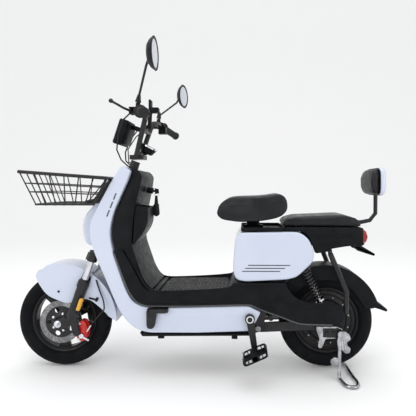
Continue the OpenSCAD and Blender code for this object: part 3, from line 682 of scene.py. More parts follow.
saddle_outline = rounded(mm([
    (72, 654, 20), (82, 690, 30), (100, 712, 30), (140, 725, 60), (266, 729, 60),
    (340, 740, 30), (360, 727, 20), (369, 700, 30), (367, 670, 30), (341, 646, 40),
    (266, 630, 40), (162, 624, 40), (95, 633, 20)]), 0.02)
saddle = trace("saddle_cushion", saddle_outline, -0.108, 0.108)
bevel(saddle, 0.034, 6, 40)


def saddle_width(co):
    share = max(0, min(1, (co.x - 0.075) / 0.16))
    return 0.60 + 0.40 * share * share * (3 - 2 * share)


taper_across(saddle, saddle_width)
stuffed(saddle, 0.004, 0.640)
saddle_seam = seam("saddle_seam", saddle, (0.22, 0, 0.700), (0.10, 0, -1), 0.0011,
                   lambda co: True)
fit(saddle, "saddle", leatherette, "leather", "saddle")
fit(saddle_seam, "saddle", leatherette, "leather")
post_collar = turned("saddle_clamp", [(0.0165, 0), (0.027, 0), (0.030, 0.006), (0.026, 0.018),
                                      (0.024, 0.020), (0.0165, 0.020)],
                     (0.228, 0, 0.6), (0, 0, 1), 36)
smooth(post_collar)
fit(post_collar, "frame", satin_black, "black_plastic")

# -------------------------------------------------------------- rear seat
# The passenger's seat pad: leatherette over foam on the tail cover, with piping
# round its top edge.
rear_outline = rounded(mm([
    (352, 609, 6), (345, 618, 8), (355, 635, 20), (382, 643, 30), (600, 652, 60),
    (641, 645, 20), (659, 633, 16), (663, 609, 6)]), 0.02)
rear_seat = trace("rear_seat_cushion", rear_outline, -0.102, 0.102)
bevel(rear_seat, 0.014, 5, 50)
taper_across(rear_seat, lambda co: 0.90 + 0.10 * max(0, min(1, (co.x - 0.35) / 0.08)))
stuffed(rear_seat, 0.004, 0.616)
piping = seam("rear_seat_piping", rear_seat, (0.5, 0, 0.6375), (-0.03, 0, 1), 0.0016,
              lambda co: True)
clear_selection()
bpy.ops.mesh.primitive_cube_add(size=1, location=(0.633, 0, 0.600))
slot_cutter = bpy.context.object
slot_cutter.scale = (0.102, 0.132, 0.056)
settle(slot_cutter)
cut = rear_seat.modifiers.new("slot", "BOOLEAN")
cut.operation = "DIFFERENCE"
cut.solver = "EXACT"
cut.object = slot_cutter
apply_modifiers(rear_seat)
bpy.data.objects.remove(slot_cutter)
fit(rear_seat, "frame", leatherette, "leather", "rear_seat")
fit(piping, "frame", leatherette, "leather")

# --------------------------------------------------------------- backrest
# A small padded backrest on two bent tubes, with a gloss white moulded back.
PAD_X = (0.702, 0.742)


def upright_slab(name, outline, x0, x1):
    """A (y, z) outline with its thickness along the vehicle."""
    slab = trace(name, outline, -x1, -x0)
    slab.matrix_world = Matrix.Rotation(math.radians(90), 4, "Z")
    settle(slab)
    return slab


pad_outline = rounded(mm([(-84, 737), (84, 737), (84, 844), (-84, 844)]), 0.036, 8)
pad = upright_slab("backrest_cushion", pad_outline, *PAD_X)
bevel(pad, 0.013, 5, 40)
for v in pad.data.vertices:
    crown = 0.010 * (v.co.y / 0.085) ** 2 + 0.018 * abs((v.co.z - 0.7905) / 0.0535) ** 2.4
    v.co.x += crown * (0.742 - v.co.x) / 0.040
stuffed(pad, 0.004, 0.0)
pad_piping = seam("backrest_piping", pad, (0.738, 0, 0.79), (1, 0, 0), 0.0014, lambda co: True)
fit(pad, "frame", leatherette, "leather", "backrest_pad")
fit(pad_piping, "frame", leatherette, "leather")
back_outline = rounded(mm([(-87, 732), (87, 732), (87, 851), (-87, 851)]), 0.038, 8)
back = upright_slab("backrest_back", back_outline, 0.7435, 0.7695)
bevel(back, 0.011, 5, 40)
fit(back, "frame", gloss_white, "white_plastic", "backrest_shell", soft=40)
pad_band = upright_slab("backrest_band", rounded(mm([(-86.5, 734.5), (86.5, 734.5), (86.5, 848),
                                                     (-86.5, 848)]), 0.037, 8), 0.7415, 0.7455)
fit(pad_band, "frame", satin_black, "black_plastic", soft=40)

# ------------------------------------------------------------ front fender
# Gloss white moulded mudguard with deep side skirts, carried by the fork legs, which
# stand in a channel on each side.
def arc_points(at, r, a0, a1, count):
    return [(at[0] + r * math.cos(math.radians(a0 + (a1 - a0) * i / count)),
             at[1] + r * math.sin(math.radians(a0 + (a1 - a0) * i / count)))
            for i in range(count + 1)]


guard_at = (-0.585, 0.206)
guard_outline = arc_points(guard_at, 0.2395, 0, 104, 22) + rounded(mm([
    (-672, 427, 20), (-690, 396, 14), (-676, 364, 16), (-640, 312, 40), (-556, 279, 20),
    (-470, 305, 30), (-418, 268, 40), (-372, 222, 20)]), 0.02)[1:]
guard = trace("front_mudguard", guard_outline, -0.0615, 0.0615)
bevel(guard, 0.019, 6, 35)


wheel_room = turned("wheel_room", [(0, -0.057), (0.222, -0.057), (0.233, -0.045),
                                   (0.233, 0.045), (0.222, 0.057), (0, 0.057)],
                    (-0.585, 0, 0.206), (0, -1, 0), 64)
leg_rooms = [turned("leg_room", [(0, 0), (0.0245, 0), (0.0245, 0.26), (0, 0.26)],
                    steering_line(0.24, -0.012, y), (FORK_TILT, 0, 1), 32)
             for y in (-0.075, 0.075)]
front_room = block("front_room", (-0.80, -0.057, 0.02), (-0.36, 0.057, 0.30))
cut_away(guard, [wheel_room, front_room, *leg_rooms])
fit(guard, "fork_lower", gloss_white, "white_plastic", "front_fender", soft=40)

# ---------------------------------------------------------------- fork legs
# Polished stanchions slide in black cast lower legs with rubber dust boots. An amber
# side reflector is fixed on each leg.
bright_chrome = finish("bright_chrome", (0.60, 0.61, 0.64), (0.72, 0.73, 0.76), (0.08, 0.22),
                       metal=1.0, grain=120, depth=0.12, size=0.0003, patch=40)
black_enamel = finish("black_powder_coat", (0.009, 0.009, 0.010), (0.014, 0.014, 0.016),
                      (0.26, 0.40), grain=700, depth=0.12, size=0.0003, patch=25)
amber = finish("amber_reflector", (0.62, 0.30, 0.015), (0.78, 0.42, 0.03), (0.12, 0.2), coat=0.6,
               grain=260, depth=0.5, size=0.0010, patch=50)
leg_pieces = []
for y in (-0.075, 0.075):
    out = 1 if y > 0 else -1
    low = steering_line(0.228, -0.012, y)
    high = steering_line(0.368, -0.012, y)
    axis = high - low
    leg = turned("fork_leg", [(0, -0.018), (0.012, -0.016), (0.019, -0.006), (0.0205, 0.010),
                              (0.0195, 0.080), (0.0205, 0.100), (0.0205, 0.138), (0, 0.138)],
                 low, axis, 40)
    boot = turned("dust_boot", [(0.0145, 0), (0.0235, 0.001), (0.0250, 0.005), (0.0235, 0.010),
                                (0.0250, 0.014), (0.0230, 0.020), (0.0240, 0.024),
                                (0.0200, 0.032), (0.0150, 0.036)],
                  steering_line(0.352, -0.012, y), axis, 40)
    foot = trace("axle_lug", rounded(mm([(-520, 250), (-528, 205), (-520, 160), (-500, 150),
                                         (-488, 162), (-500, 205), (-506, 262)]), 0.012),
                 y + out * 0.004, y + out * 0.016)
    lug = trace("axle_arm", rounded(mm([(-524, 226), (-512, 204), (-560, 180), (-590, 178),
                                        (-604, 194), (-598, 214), (-566, 226)]), 0.012),
                y - 0.007, y + 0.007)
    for piece in (foot, lug):
        bevel(piece, 0.002, 3, 40)
    leg_pieces += [leg, boot, foot, lug]
legs = join("fork_leg_castings", leg_pieces)
fit(legs, "fork_lower", black_enamel, "black_metal", "fork_lowers", soft=40)
reflectors = []
for y in (-0.0995, 0.0995):
    a = steering_line(0.312, 0.012, y)
    b = steering_line(0.262, 0.012, y)
    reflectors.append(bar("reflector", b, a, 0.0085, soft=0.004))
side_reflectors = join("side_reflectors", reflectors)
taper_across(side_reflectors, lambda co: 1.0)
fit(side_reflectors, "fork_lower", amber, "red_lens", soft=50)
axle_nuts = []
for out in (-1, 1):
    axle_nuts.append(turned("axle_washer", [(0, 0), (0.0145, 0), (0.0145, 0.002), (0, 0.002)],
                            (-0.585, out * 0.0822, 0.200), (0, out, 0), 32))
    axle_nuts.append(turned("axle_nut", [(0, 0), (0.0110, 0), (0.0110, 0.007), (0.0095, 0.009),
                                         (0.006, 0.009), (0.006, 0.013), (0, 0.014)],
                            (-0.585, out * 0.0838, 0.200), (0, out, 0), 6))
nuts = join("front_axle_nuts", axle_nuts)
fit(nuts, "fork_lower", bright_chrome, "chrome", soft=30)

# ------------------------------------------------------------- disc brake
# A perforated steel ring on a black carrier, and a red painted two-part caliper
# behind the left leg with a cable arm.
caliper_red = finish("caliper_red", (0.42, 0.012, 0.010), (0.56, 0.022, 0.016), (0.24, 0.38),
                     coat=0.4, grain=300, depth=0.15, size=0.0004, patch=60)
ring = turned("rotor_ring", [(0.066, -0.0015), (0.0895, -0.0015), (0.0895, 0.0015),
                             (0.066, 0.0015), (0.066, -0.0015)], (-0.585, -0.0495, 0.200),
              (0, -1, 0), 72)
holes = []
first_hole = turned("vent", [(0, -0.004), (0.0019, -0.004), (0.0019, 0.004), (0, 0.004)],
                    (0, 0, 0), (0, -1, 0), 8)
for row, radius in enumerate((0.0705, 0.0765, 0.0825)):
    for k in range(30):
        angle = math.tau * (k + row * 0.33) / 30
        hole = first_hole.copy()
        hole.data = first_hole.data.copy()
        bpy.context.collection.objects.link(hole)
        hole.data.transform(Matrix.Translation((-0.585 + radius * math.cos(angle), -0.0495,
                                                0.200 + radius * math.sin(angle))))
        holes.append(hole)
bpy.data.objects.remove(first_hole)
cut_away(ring, [join("vents", holes)])
smooth(ring, 30)
rotor_steel = finish("rotor_steel", (0.15, 0.15, 0.155), (0.25, 0.25, 0.26), (0.25, 0.38),
                     metal=0.9, grain=700, depth=0.1, size=0.0002, patch=40)
fit(ring, "front_wheel", rotor_steel, "silver_steel", "brake_rotor")
carrier = turned("rotor_carrier", [(0, 0), (0.0675, 0), (0.0675, 0.003), (0.050, 0.004),
                                   (0.034, 0.010), (0.024, 0.012), (0.024, -0.008), (0, -0.008)],
                 (-0.585, -0.0462, 0.200), (0, -1, 0), 48)
windows = []
for k in range(5):
    angle = math.radians(72 * k + 254)
    windows.append(bar("window", (-0.585 + 0.050 * math.cos(angle), -0.030,
                                  0.200 + 0.050 * math.sin(angle)),
                       (-0.585 + 0.050 * math.cos(angle), -0.070,
                        0.200 + 0.050 * math.sin(angle)), 0.011))
cut_away(carrier, windows)
fit(carrier, "front_wheel", black_enamel, "black_metal", soft=30)
rotor_bolts = []
for k in range(5):
    angle = math.radians(72 * k + 290)
    rotor_bolts.append(turned("bolt", [(0, 0), (0.0055, 0), (0.0055, 0.003), (0.004, 0.0045),
                                       (0, 0.0045)],
                              (-0.585 + 0.036 * math.cos(angle), -0.0552,
                               0.200 + 0.036 * math.sin(angle)), (0, -1, 0), 12))
rotor_bolt_set = join("rotor_bolts", rotor_bolts)
fit(rotor_bolt_set, "front_wheel", bright_chrome, "chrome", soft=30)

caliper_half = rounded(mm([(-516, 158), (-510, 196), (-492, 214), (-474, 208), (-462, 178),
                           (-466, 140), (-484, 124), (-502, 132)]), 0.010)
outer_half = trace("caliper_outer", caliper_half, -0.0748, -0.0552)
inner_half = trace("caliper_inner", caliper_half, -0.0438, -0.0382)
bridge = trace("caliper_bridge", rounded(mm([(-482, 214), (-470, 206), (-460, 176),
                                             (-466, 142), (-482, 126), (-480, 170)]), 0.006),
               -0.0560, -0.0430)
for piece in (outer_half, inner_half, bridge):
    bevel(piece, 0.0025, 3, 40)
ribs = [block("caliper_rib", (-0.509, -0.0775, z), (-0.469, -0.0740, z + 0.010), 0.0015)
        for z in (0.146, 0.163, 0.180)]
caliper = join("brake_caliper_castings", [outer_half, inner_half, bridge, *ribs])
fit(caliper, "fork_lower", caliper_red, "red_paint", "brake_caliper", soft=35)
cable_arm = [bar("arm_boss", (-0.487, -0.0745, 0.150), (-0.487, -0.0835, 0.150), 0.010),
             block("arm", (-0.487, -0.0825, 0.146), (-0.450, -0.0790, 0.154), 0.001, 2, 28,
                   (-0.487, -0.080, 0.150)),
             bar("adjuster", (-0.463, -0.0805, 0.170), (-0.446, -0.0805, 0.196), 0.0035),
             bar("lower_bolt", (-0.500, -0.0740, 0.136), (-0.500, -0.0800, 0.136), 0.0055),
             bar("upper_bolt", (-0.496, -0.0740, 0.200), (-0.496, -0.0800, 0.200), 0.0055)]
arm = join("caliper_cable_arm", cable_arm)
fit(arm, "fork_lower", bright_chrome, "chrome", soft=35)
brake_cable = tube("front_brake_cable", mm([
    (-446, -80.5, 196), (-432, -81, 214), (-410, -84, 240), (-398, -86, 254), (-388, -84, 262),
    (-396, -74, 300), (-416, -70, 340), (-430, -66, 380)]), 0.0028)
fit(brake_cable, "fork_lower", soft_rubber, "rubber")
cable_guide = join("cable_guide", [
    block("guide_stem", (-0.462, -0.0660, 0.296), (-0.425, -0.0600, 0.303), 0.002, 2, 14),
    bar("guide_clip", (-0.430, -0.0660, 0.291), (-0.424, -0.0660, 0.306), 0.005),
    bar("skirt_bolt", (-0.590, -0.0610, 0.330), (-0.590, -0.0650, 0.330), 0.0045)])
fit(cable_guide, "fork_lower", satin_black, "black_plastic", soft=40)

# -------------------------------------------------------------------- tyres
# Road tyres with a round shoulder, three grooves round the tread and cross grooves
# on each shoulder, moulded in black rubber.
tyre_rubber = finish("tyre_rubber", (0.0025, 0.0028, 0.0035), (0.0050, 0.0055, 0.0068),
                     (0.55, 0.75), grain=1200, depth=0.3, size=0.0003, patch=20, specular=0.10)


def tyre(name, at):
    side = [(0.1365, 0.021), (0.1440, 0.0285), (0.1500, 0.0330), (0.1660, 0.0358),
            (0.1690, 0.0372 - 0.0014), (0.1720, 0.0354), (0.1840, 0.0300), (0.1905, 0.0245),
            (0.1945, 0.0185), (0.1925, 0.0170), (0.1925, 0.0150), (0.1965, 0.0136),
            (0.1985, 0.0060), (0.1960, 0.0045)]
    half = [(r, h) for r, h in side]
    profile = half + [(r, -h) for r, h in reversed(half)] + [(0.1365, 0.021)]
    obj = turned(name, profile, at, (0, -1, 0), 96)
    centre = Vector(at)

    def in_block(face):
        place = face.calc_center_median() - centre
        radius = math.hypot(place.x, place.z)
        angle = math.atan2(place.z, place.x) % math.tau
        index = int(angle / math.tau * 96)
        return 0.186 < radius < 0.1955 and abs(place.y) > 0.018 and index % 3 == 0

    pick(obj, "FACE", in_block)
    bpy.ops.mesh.extrude_region_shrink_fatten(TRANSFORM_OT_shrink_fatten={"value": -0.0022})
    leave()
    smooth(obj, 30)
    return obj


front_tyre = tyre("front_tyre_tread", (-0.585, 0, 0.200))
fit(front_tyre, "front_wheel", tyre_rubber, "tyre", "front_tyre")
rear_tyre = tyre("rear_tyre_tread", (0.536, 0, 0.203))
fit(rear_tyre, "rear_wheel", tyre_rubber, "tyre", "rear_tyre")

# --------------------------------------------------------------------- rims
# Front: black cast alloy rim with five pairs of slim spokes. Rear: the hub motor fills
# the wheel, a black casting with a stepped cover and a ring of small screws.
bright_steel = finish("bright_steel", (0.34, 0.34, 0.35), (0.46, 0.46, 0.47), (0.28, 0.44),
                      metal=1.0, grain=1100, depth=0.2, size=0.0002, patch=60)
cast_black = finish("black_cast_alloy", (0.008, 0.008, 0.009), (0.014, 0.014, 0.015),
                    (0.30, 0.46), metal=0.3, grain=420, depth=0.2, size=0.0003, patch=30)


def rim_band(name, at):
    profile = [(0.137, 0.0215), (0.1385, 0.0225), (0.1355, 0.0240), (0.1290, 0.0215),
               (0.1250, 0.0160), (0.1220, 0.0150), (0.1220, -0.0150), (0.1250, -0.0160),
               (0.1290, -0.0215), (0.1355, -0.0240), (0.1385, -0.0225), (0.137, -0.0215),
               (0.1300, 0.0), (0.137, 0.0215)]
    return turned(name, profile, at, (0, -1, 0), 72)


front_parts = [rim_band("front_rim_band", (-0.585, 0, 0.200)),
               turned("front_hub", [(0, -0.040), (0.026, -0.040), (0.031, -0.034),
                                    (0.029, 0.030), (0.033, 0.036), (0.030, 0.040), (0, 0.040)],
                      (-0.585, 0, 0.200), (0, -1, 0), 40)]
for k in range(5):
    spoke = trace("spoke", rounded([(0.024, 0.017), (0.070, 0.012), (0.126, 0.026),
                                    (0.126, -0.026), (0.070, -0.012), (0.024, -0.017)], 0.012),
                  -0.011, 0.011)
    bevel(spoke, 0.003, 3, 40)
    spoke.data.transform(Matrix.Translation((-0.585, 0, 0.200))
                         @ Matrix.Rotation(math.radians(72 * k + 20), 4, "Y"))
    front_parts.append(spoke)
front_rim = join("front_cast_rim", front_parts)
fit(front_rim, "front_wheel", cast_black, "alloy", "front_rim", soft=35)

rear_hub = turned("hub_motor", [(0, -0.042), (0.030, -0.042), (0.034, -0.038), (0.076, -0.036),
                                (0.084, -0.030), (0.090, -0.020), (0.104, -0.016),
                                (0.112, -0.019), (0.124, -0.015), (0.124, 0.015),
                                (0.112, 0.019), (0.104, 0.016), (0.090, 0.020), (0.084, 0.030),
                                (0.076, 0.036), (0.034, 0.038), (0.030, 0.042), (0, 0.042)],
                  (0.536, 0, 0.203), (0, -1, 0), 72)
rear_wheel = join("rear_motor_wheel", [rear_hub, rim_band("rear_rim_band", (0.536, 0, 0.203))])
fit(rear_wheel, "rear_wheel", cast_black, "alloy", "rear_rim", soft=30)
cover_screws = []
for k in range(12):
    for out in (-1, 1):
        angle = math.tau * (k + 0.4) / 12
        cover_screws.append(turned("screw", [(0, 0), (0.0036, 0), (0.0030, 0.0022), (0, 0.0024)],
                                   (0.536 + 0.098 * math.cos(angle), out * 0.0172,
                                    0.203 + 0.098 * math.sin(angle)), (0, out, 0), 10))
screw_ring = join("hub_cover_screws", cover_screws)
fit(screw_ring, "rear_wheel", bright_steel, "silver_steel", soft=30)

# --------------------------------------------------------------- rear fender
# Deep black mudguard over the rear wheel with a rounded crown and a rubber flap.
rear_guard_at = (0.530, 0.214)
rear_guard_outline = (arc_points(rear_guard_at, 0.2278, 14, 150, 26)
                      + rounded([(0.372, 0.300, 0.02), (0.400, 0.290, 0.02)], 0.02)
                      + arc_points(rear_guard_at, 0.166, 140, 40, 16)
                      + [(0.694, 0.262), (0.722, 0.262)])
rear_guard = trace("rear_mudguard", rear_guard_outline, -0.0498, 0.0498)
bevel(rear_guard, 0.016, 5, 35)
rear_room = turned("rear_room", [(0, -0.0455), (0.214, -0.0455), (0.222, -0.036),
                                 (0.222, 0.036), (0.214, 0.0455), (0, 0.0455)],
                   (0.530, 0, 0.214), (0, -1, 0), 64)
cut_away(rear_guard, [rear_room])
smooth(rear_guard, 40)
mud_flap = trace("mud_flap", rounded(mm([(738, 276), (754, 281), (790, 256), (786, 246),
                                         (752, 258), (736, 262)]), 0.006), -0.042, 0.042)
bevel(mud_flap, 0.002, 3, 40)
smooth(mud_flap, 40)
rear_guard = join("rear_mudguard", [rear_guard, mud_flap])
fit(rear_guard, "frame", satin_black, "black_plastic", "rear_fender")

# ------------------------------------------------------------- tail cover
# Black moulded tail below the rear seat, with a pressed recess along each side, a tray
# under the saddle, a stepped collar round the seat post and a number plate bracket.
tail_outline = rounded(mm([
    (352, 589), (408, 590), (432, 584), (452, 564), (467, 528), (477, 500), (526, 507),
    (536, 518), (600, 529), (638, 532), (664, 530), (680, 544), (686, 568), (676, 596),
    (664, 606), (352, 606)]), 0.008)
tail = trace("tail_moulding", tail_outline, -0.108, 0.108)
bevel(tail, 0.008, 4, 40)
tail_rooms = [trace("tail_room", mm([(384, 600), (432, 590), (456, 566), (474, 532),
                                     (486, 494), (522, 494), (532, 524), (598, 536),
                                     (652, 540), (652, 600)]), -0.100, 0.100),
              block("light_room", (0.668, -0.112, 0.5405), (0.70, 0.112, 0.5985)),
              block("shaft_room", (0.44, -0.090, 0.48), (0.49, 0.090, 0.58))]
for out in (-1, 1):
    tail_rooms.append(bar("strut_room", (0.5396, out * 0.1092, 0.4748),
                          (0.534, out * 0.070, 0.556), 0.013))
    side_recess = trace("side_recess", rounded(mm([(462, 578), (462, 560), (618, 566),
                                                   (622, 580)]), 0.006),
                        out * 0.1060, out * 0.1100)
    tail_rooms.append(side_recess)
cut_away(tail, tail_rooms)
tail_ribs = [trace("side_rib", rounded(mm([(468, 573), (468, 567), (612, 571), (614, 576)]),
                                       0.0025), out * 0.1050, out * 0.1077)
             for out in (-1, 1)]
lower_hooks = [trace("lower_hook", rounded(mm([(556, 548), (566, 536), (606, 541), (614, 552),
                                               (598, 556), (584, 551)]), 0.003),
                     out * 0.1060, out * 0.1088) for out in (-1, 1)]
for piece in tail_ribs + lower_hooks:
    bevel(piece, 0.001, 2, 40)
tray = block("saddle_tray", (0.176, -0.112, 0.5896), (0.351, 0.112, 0.6055), 0.004, 3)
tray_cut = [block("tray_room", (0.181, -0.107, 0.5935), (0.345, 0.107, 0.640)),
            bar("post_room", (0.228, 0, 0.57), (0.228, 0, 0.65), 0.024)]
cut_away(tray, tray_cut)
collar = turned("post_collar", [(0.0168, 0.0), (0.041, 0.0), (0.043, 0.003), (0.043, 0.010),
                                (0.040, 0.013), (0.031, 0.014), (0.029, 0.017),
                                (0.028, 0.024), (0.025, 0.027), (0.0168, 0.027),
                                (0.0168, 0.0)], (0.228, 0, 0.594), (0, 0, 1), 48)
tail = join("tail_moulding", [tail, tray, collar, *tail_ribs, *lower_hooks])
fit(tail, "frame", satin_black, "black_plastic", soft=38)
plate_top = trace("plate_bracket", rounded(mm([(655, 514), (663, 519), (736, 488), (734, 481),
                                               (662, 512)]), 0.002), -0.040, 0.040)
plate_holes = [bar("plate_hole", (0.7089, y, 0.4727), (0.7251, y, 0.5093), 0.0033, sides=24)
               for y in (-0.030, 0.030)]
cut_away(plate_top, plate_holes)
gussets = [trace("gusset", rounded(mm([(648, 532), (668, 530), (738, 488), (734, 480),
                                       (700, 490), (664, 502), (652, 512)]), 0.003),
                 min(out * 0.0400, out * 0.0365), max(out * 0.0400, out * 0.0365))
           for out in (-1, 1)]
bracket = join("plate_bracket", [plate_top, *gussets])
fit(bracket, "frame", satin_black, "black_plastic", "tail_cover", soft=35)

# --------------------------------------------------------------- tail light
# Red lens with fine ribs across it, set into the end of the tail.
tail_red = finish("tail_lens_red", (0.20, 0.004, 0.006), (0.34, 0.010, 0.012), (0.10, 0.2),
                  coat=0.7, grain=160, depth=0.3, size=0.0008, patch=50)
lens = trace("tail_lens", rounded(mm([(666, 541.5), (680, 545), (688, 567), (679, 593),
                                      (666, 597.5)]), 0.008), -0.1065, 0.1065)
bevel(lens, 0.005, 4, 40)
lens_ribs = [block("lens_rib", (0.667, -0.098, z), (0.6890 - abs(z - 0.567) * 0.32, 0.098,
                                                    z + 0.0018), 0.0006, 2)
             for z in (0.550, 0.556, 0.562, 0.568, 0.574, 0.580, 0.586)]
lens = join("tail_lens", [lens, *lens_ribs])
fit(lens, "frame", tail_red, "red_lens", "tail_light", soft=40)

# ------------------------------------------------------------ shock springs
# Coil springs of black painted wire round the two rear dampers.
SHOCK_TOP = Vector((0.425, 0, 0.455))
SHOCK_DIR = (Vector((0.512, 0, 0.276)) - SHOCK_TOP).normalized()
SHOCK_Y = 0.096


def coil(name, at, direction, radius, wire, length, turns, steps=14):
    """A wire wound round an axis."""
    turn = direction.to_track_quat("Z", "Y").to_matrix()
    points = []
    for i in range(int(turns * steps) + 1):
        angle = math.tau * i / steps
        share = i / (turns * steps)
        points.append(at + turn @ Vector((radius * math.cos(angle), radius * math.sin(angle),
                                          length * share)))
    return tube(name, points, wire, resolution=2)


springs = []
for out in (-1, 1):
    start = SHOCK_TOP + 0.034 * SHOCK_DIR + Vector((0, out * SHOCK_Y, 0))
    springs.append(coil("spring", start, SHOCK_DIR, 0.0175, 0.0034, 0.118, 9))
spring_pair = join("shock_spring_pair", springs)
spring_black = finish("spring_black", (0.012, 0.012, 0.013), (0.02, 0.02, 0.022), (0.2, 0.3),
                      metal=0.3, coat=0.4, grain=500, depth=0.05, size=0.0003, patch=30)
fit(spring_pair, "shock_upper", spring_black, "spring", "shock_springs")
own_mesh(spring_pair)

# -------------------------------------------------------------------- chain
# Bicycle chain on the right, each link two plates with a pin, made once and repeated.
CRANK_AT = Vector((0.212, 0, 0.245))
REAR_AXLE = Vector((0.536, 0, 0.203))
CHAIN_Y = 0.057
LINK = 0.0127


def chain_places(r_front, r_rear):
    """Places and headings one link apart round the two sprockets."""
    run = REAR_AXLE - CRANK_AT
    span = run.length
    heading = math.atan2(run.z, run.x)
    lean = math.asin((r_front - r_rear) / span)
    straight = span * math.cos(lean)
    front_arc = r_front * (math.pi + 2 * lean)
    rear_arc = r_rear * (math.pi - 2 * lean)
    total = 2 * straight + front_arc + rear_arc
    count = int(total / LINK)
    places = []
    for i in range(count):
        s = total * i / count
        if s < straight:
            a = heading + math.pi / 2 - lean
            start = CRANK_AT + r_front * Vector((math.cos(a), 0, math.sin(a)))
            way = a - math.pi / 2
            place = start + s * Vector((math.cos(way), 0, math.sin(way)))
        elif s < straight + rear_arc:
            a = heading + math.pi / 2 - lean - (s - straight) / r_rear
            place = REAR_AXLE + r_rear * Vector((math.cos(a), 0, math.sin(a)))
            way = a - math.pi / 2
        elif s < 2 * straight + rear_arc:
            a = heading - math.pi / 2 + lean
            start = REAR_AXLE + r_rear * Vector((math.cos(a), 0, math.sin(a)))
            way = a - math.pi / 2
            place = start + (s - straight - rear_arc) * Vector((math.cos(way), 0,
                                                                math.sin(way)))
        else:
            a = heading - math.pi / 2 + lean - (s - 2 * straight - rear_arc) / r_front
            place = CRANK_AT + r_front * Vector((math.cos(a), 0, math.sin(a)))
            way = a - math.pi / 2
        places.append((place, way))
    return places


links = []
for k, wide in enumerate((0.0022, 0.0029)):
    plates = [block("plate", (-0.0085, y - 0.0004, -0.0037), (0.0085, y + 0.0004, 0.0037),
                    0.0004, 1) for y in (-wide, wide)]
    pin = bar("pin", (-0.00635, -0.0031, 0), (-0.00635, 0.0031, 0), 0.0028, sides=8)
    links.append(join("link", [*plates, pin]))
chain_links = []
for i, (place, way) in enumerate(chain_places(0.0430, 0.0344)):
    link = links[i % 2].copy()
    link.data = links[i % 2].data.copy()
    bpy.context.collection.objects.link(link)
    link.data.transform(Matrix.Translation((place.x, CHAIN_Y, place.z))
                        @ Matrix.Rotation(-way, 4, "Y"))
    chain_links.append(link)
for link in links:
    bpy.data.objects.remove(link)
drive_chain = join("drive_chain", chain_links)
smooth(drive_chain, 30)
dark_steel = finish("oiled_steel", (0.10, 0.095, 0.085), (0.17, 0.16, 0.15), (0.3, 0.45),
                    metal=0.9, grain=600, depth=0.1, size=0.0002, patch=60)
fit(drive_chain, "swingarm", dark_steel, "silver_steel", "chain")

# ------------------------------------------------------------------- cranks
# Forged black crank arms on a steel axle with a small chain wheel on the right.


def crank_arm(name, tip, out):
    along = (Vector(tip) - CRANK_AT).normalized()
    across = Vector((along.z, 0, -along.x))
    shape = [CRANK_AT + across * 0.0155 - along * 0.006, CRANK_AT - along * 0.018,
             CRANK_AT - across * 0.0155 - along * 0.006, Vector(tip) - across * 0.0115,
             Vector(tip) + along * 0.0125, Vector(tip) + across * 0.0115]
    y0, y1 = sorted((out * 0.1335, out * 0.1465))
    arm_piece = trace(name, rounded([(v.x, v.z) for v in shape], 0.012), y0, y1)
    bevel(arm_piece, 0.003, 3, 40)
    return arm_piece


CRANK_TIPS = ((0.23077, 0, 0.12648), (0.19323, 0, 0.36352))
crank_pieces = [bar("crank_axle", (0.212, -0.146, 0.245), (0.212, 0.146, 0.245), 0.009)]
for out, tip in zip((-1, 1), CRANK_TIPS):
    arm_piece = crank_arm("crank_arm", tip, out)
    eye = [bar("eye", (tip[0], out * 0.128, tip[2]), (tip[0], out * 0.150, tip[2]), 0.0061)]
    cut_away(arm_piece, eye)
    crank_pieces.append(arm_piece)
    crank_pieces.append(bar("crank_boss", (0.212, out * 0.130, 0.245),
                            (0.212, out * 0.1475, 0.245), 0.0195, soft=0.003))
chain_wheel = turned("chain_wheel", [(0.009, 0.0545), (0.0335, 0.0550), (0.0375, 0.0562),
                                     (0.0375, 0.0578), (0.0335, 0.0590), (0.009, 0.0595),
                                     (0.009, 0.0545)], (0.212, 0, 0.245), (0, 1, 0), 54)
pick(chain_wheel, "VERT", lambda v: math.hypot(v.co.x - 0.212, v.co.z - 0.245) > 0.037
     and int(round(math.atan2(v.co.z - 0.245, v.co.x - 0.212) / math.tau * 54)) % 3 != 0)
bpy.ops.transform.resize(value=(0.90, 1, 0.90), center_override=(0.212, 0, 0.245))
leave()
crank_pieces.append(chain_wheel)
cranks = join("crank_arms", crank_pieces)
fit(cranks, "crank", black_enamel, "black_metal", "crankset", soft=35)
crank_caps = join("crank_caps", [
    turned("cap_ring", [(0.010, 0), (0.0145, 0), (0.0145, 0.0015), (0.010, 0.0020), (0.010, 0)],
           (0.212, out * 0.1474, 0.245), (0, out, 0), 32) for out in (-1, 1)])
fit(crank_caps, "crank", bright_chrome, "chrome", soft=35)

# ------------------------------------------------------------------- pedals
# Moulded platform pedals: a six-sided cage with see-through windows round a barrel.
PEDAL_TILT = math.radians(24)


